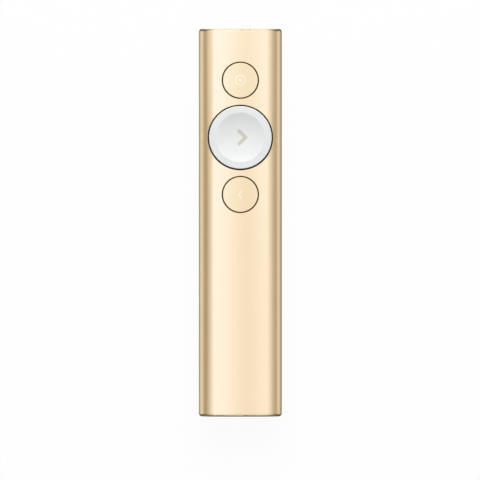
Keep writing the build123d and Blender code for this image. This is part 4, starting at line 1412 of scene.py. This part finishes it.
    def _painted_reflection(
        self, graph: Graph, spot: bpy.types.NodeSocket, where: bpy.types.NodeSocket
    ) -> bpy.types.NodeSocket:
        """Gives the table as metal and glass show it: painted shade and light by how far from the clicker's
        foot it is, with a painted contact shadow at the foot, a painted glow off the nose, a painted shadow
        off the tail and painted shade off the corners.

        Args:
            graph: The table's graph.
            spot: A place on the table.
            where: The same place, with each part counted outwards from the middle.

        Returns:
            The shader's socket.
        """
        out = graph.vector("MAXIMUM", graph.vector("SUBTRACT", where, (*self.foot, 0.0)), (0.0, 0.0, 0.0))
        away, parts, place = graph.vector("LENGTH", out), graph.parts(out), graph.parts(spot)
        reach = graph.span(place["X"], -self.side_turn, self.side_turn, *self.side_reach)
        share = graph.math("DIVIDE", graph.math("MULTIPLY", away, reach), self.painted_shading_span)
        # A painted contact shadow near the foot, then a painted band of light, by distance from the foot.
        shade = graph.ramp(share, [(g.where / self.painted_shading_span, g.colour) for g in self.painted_table_shading])
        # Painted shade on the table off the clicker's corners.
        corner = graph.math("MULTIPLY", self._diagonal(graph, parts), self.painted_corner_shade)
        shade = graph.mix(corner, shade, (0.0, 0.0, 0.0))
        # Painted glow straight off the nose and painted shadow straight off the tail.
        both = graph.math("ADD", graph.math("ADD", parts["X"], parts["Y"]), TINY)
        straight = graph.span(graph.math("DIVIDE", parts["Y"], both), *self.end_on)
        nose = graph.math("MULTIPLY", graph.span(parts["Y"], *self.nose_start), straight)
        nose = graph.math("MULTIPLY", graph.math("GREATER_THAN", place["Y"], self.foot[1]), nose)
        tail = graph.math("MULTIPLY", graph.math("LESS_THAN", place["Y"], -self.foot[1]), straight)
        shade = graph.mix(tail, graph.mix(nose, shade, self.painted_nose_glow), self.painted_tail_shadow)
        return graph.light("Emission", shade)

    def _clear(self, graph: Graph, where: bpy.types.NodeSocket) -> bpy.types.NodeSocket:
        """Gives where the table can be seen through: under the flat back, and all of it from below.

        Args:
            graph: The table's graph.
            where: A place on the table, with each part counted outwards from the middle.

        Returns:
            The share's socket.
        """
        past = graph.parts(graph.vector("SUBTRACT", where, (*self.back_face, 0.0)))
        further = graph.math("MAXIMUM", past["X"], past["Y"])
        inside = graph.span(further, -self.back_soft, self.back_soft, 1.0, 0.0)
        return graph.math("MAXIMUM", inside, graph.add("NewGeometry").outputs["Backfacing"])

    def _camera(self) -> None:
        """Hangs the camera over the clicker, looking straight down with the nose at the top."""
        data = bpy.data.cameras.new("overhead")
        data.sensor_width = self.sensor
        data.lens = self.sensor * (self.eye[2] - self.aim_height) / self.view_width
        data.clip_start, data.clip_end = self.clip
        camera = bpy.data.objects.new("overhead", data)
        camera.location = self.eye
        bpy.context.scene.collection.objects.link(camera)
        bpy.context.scene.camera = camera


def main() -> None:
    """Loads the frame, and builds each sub-assembly and the studio."""
    logging.basicConfig(level=logging.INFO, format="%(name)s: %(message)s")
    for stray in list(bpy.data.objects):
        bpy.data.objects.remove(stray)
    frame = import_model()
    shop = Workshop(frame)
    for assembly in (Sleeve(), ButtonGroup(), Ends(), ChargingPort(), Receiver(), Works()):
        assembly.build(shop)
    Studio().build()


if __name__ == "__main__":
    main()
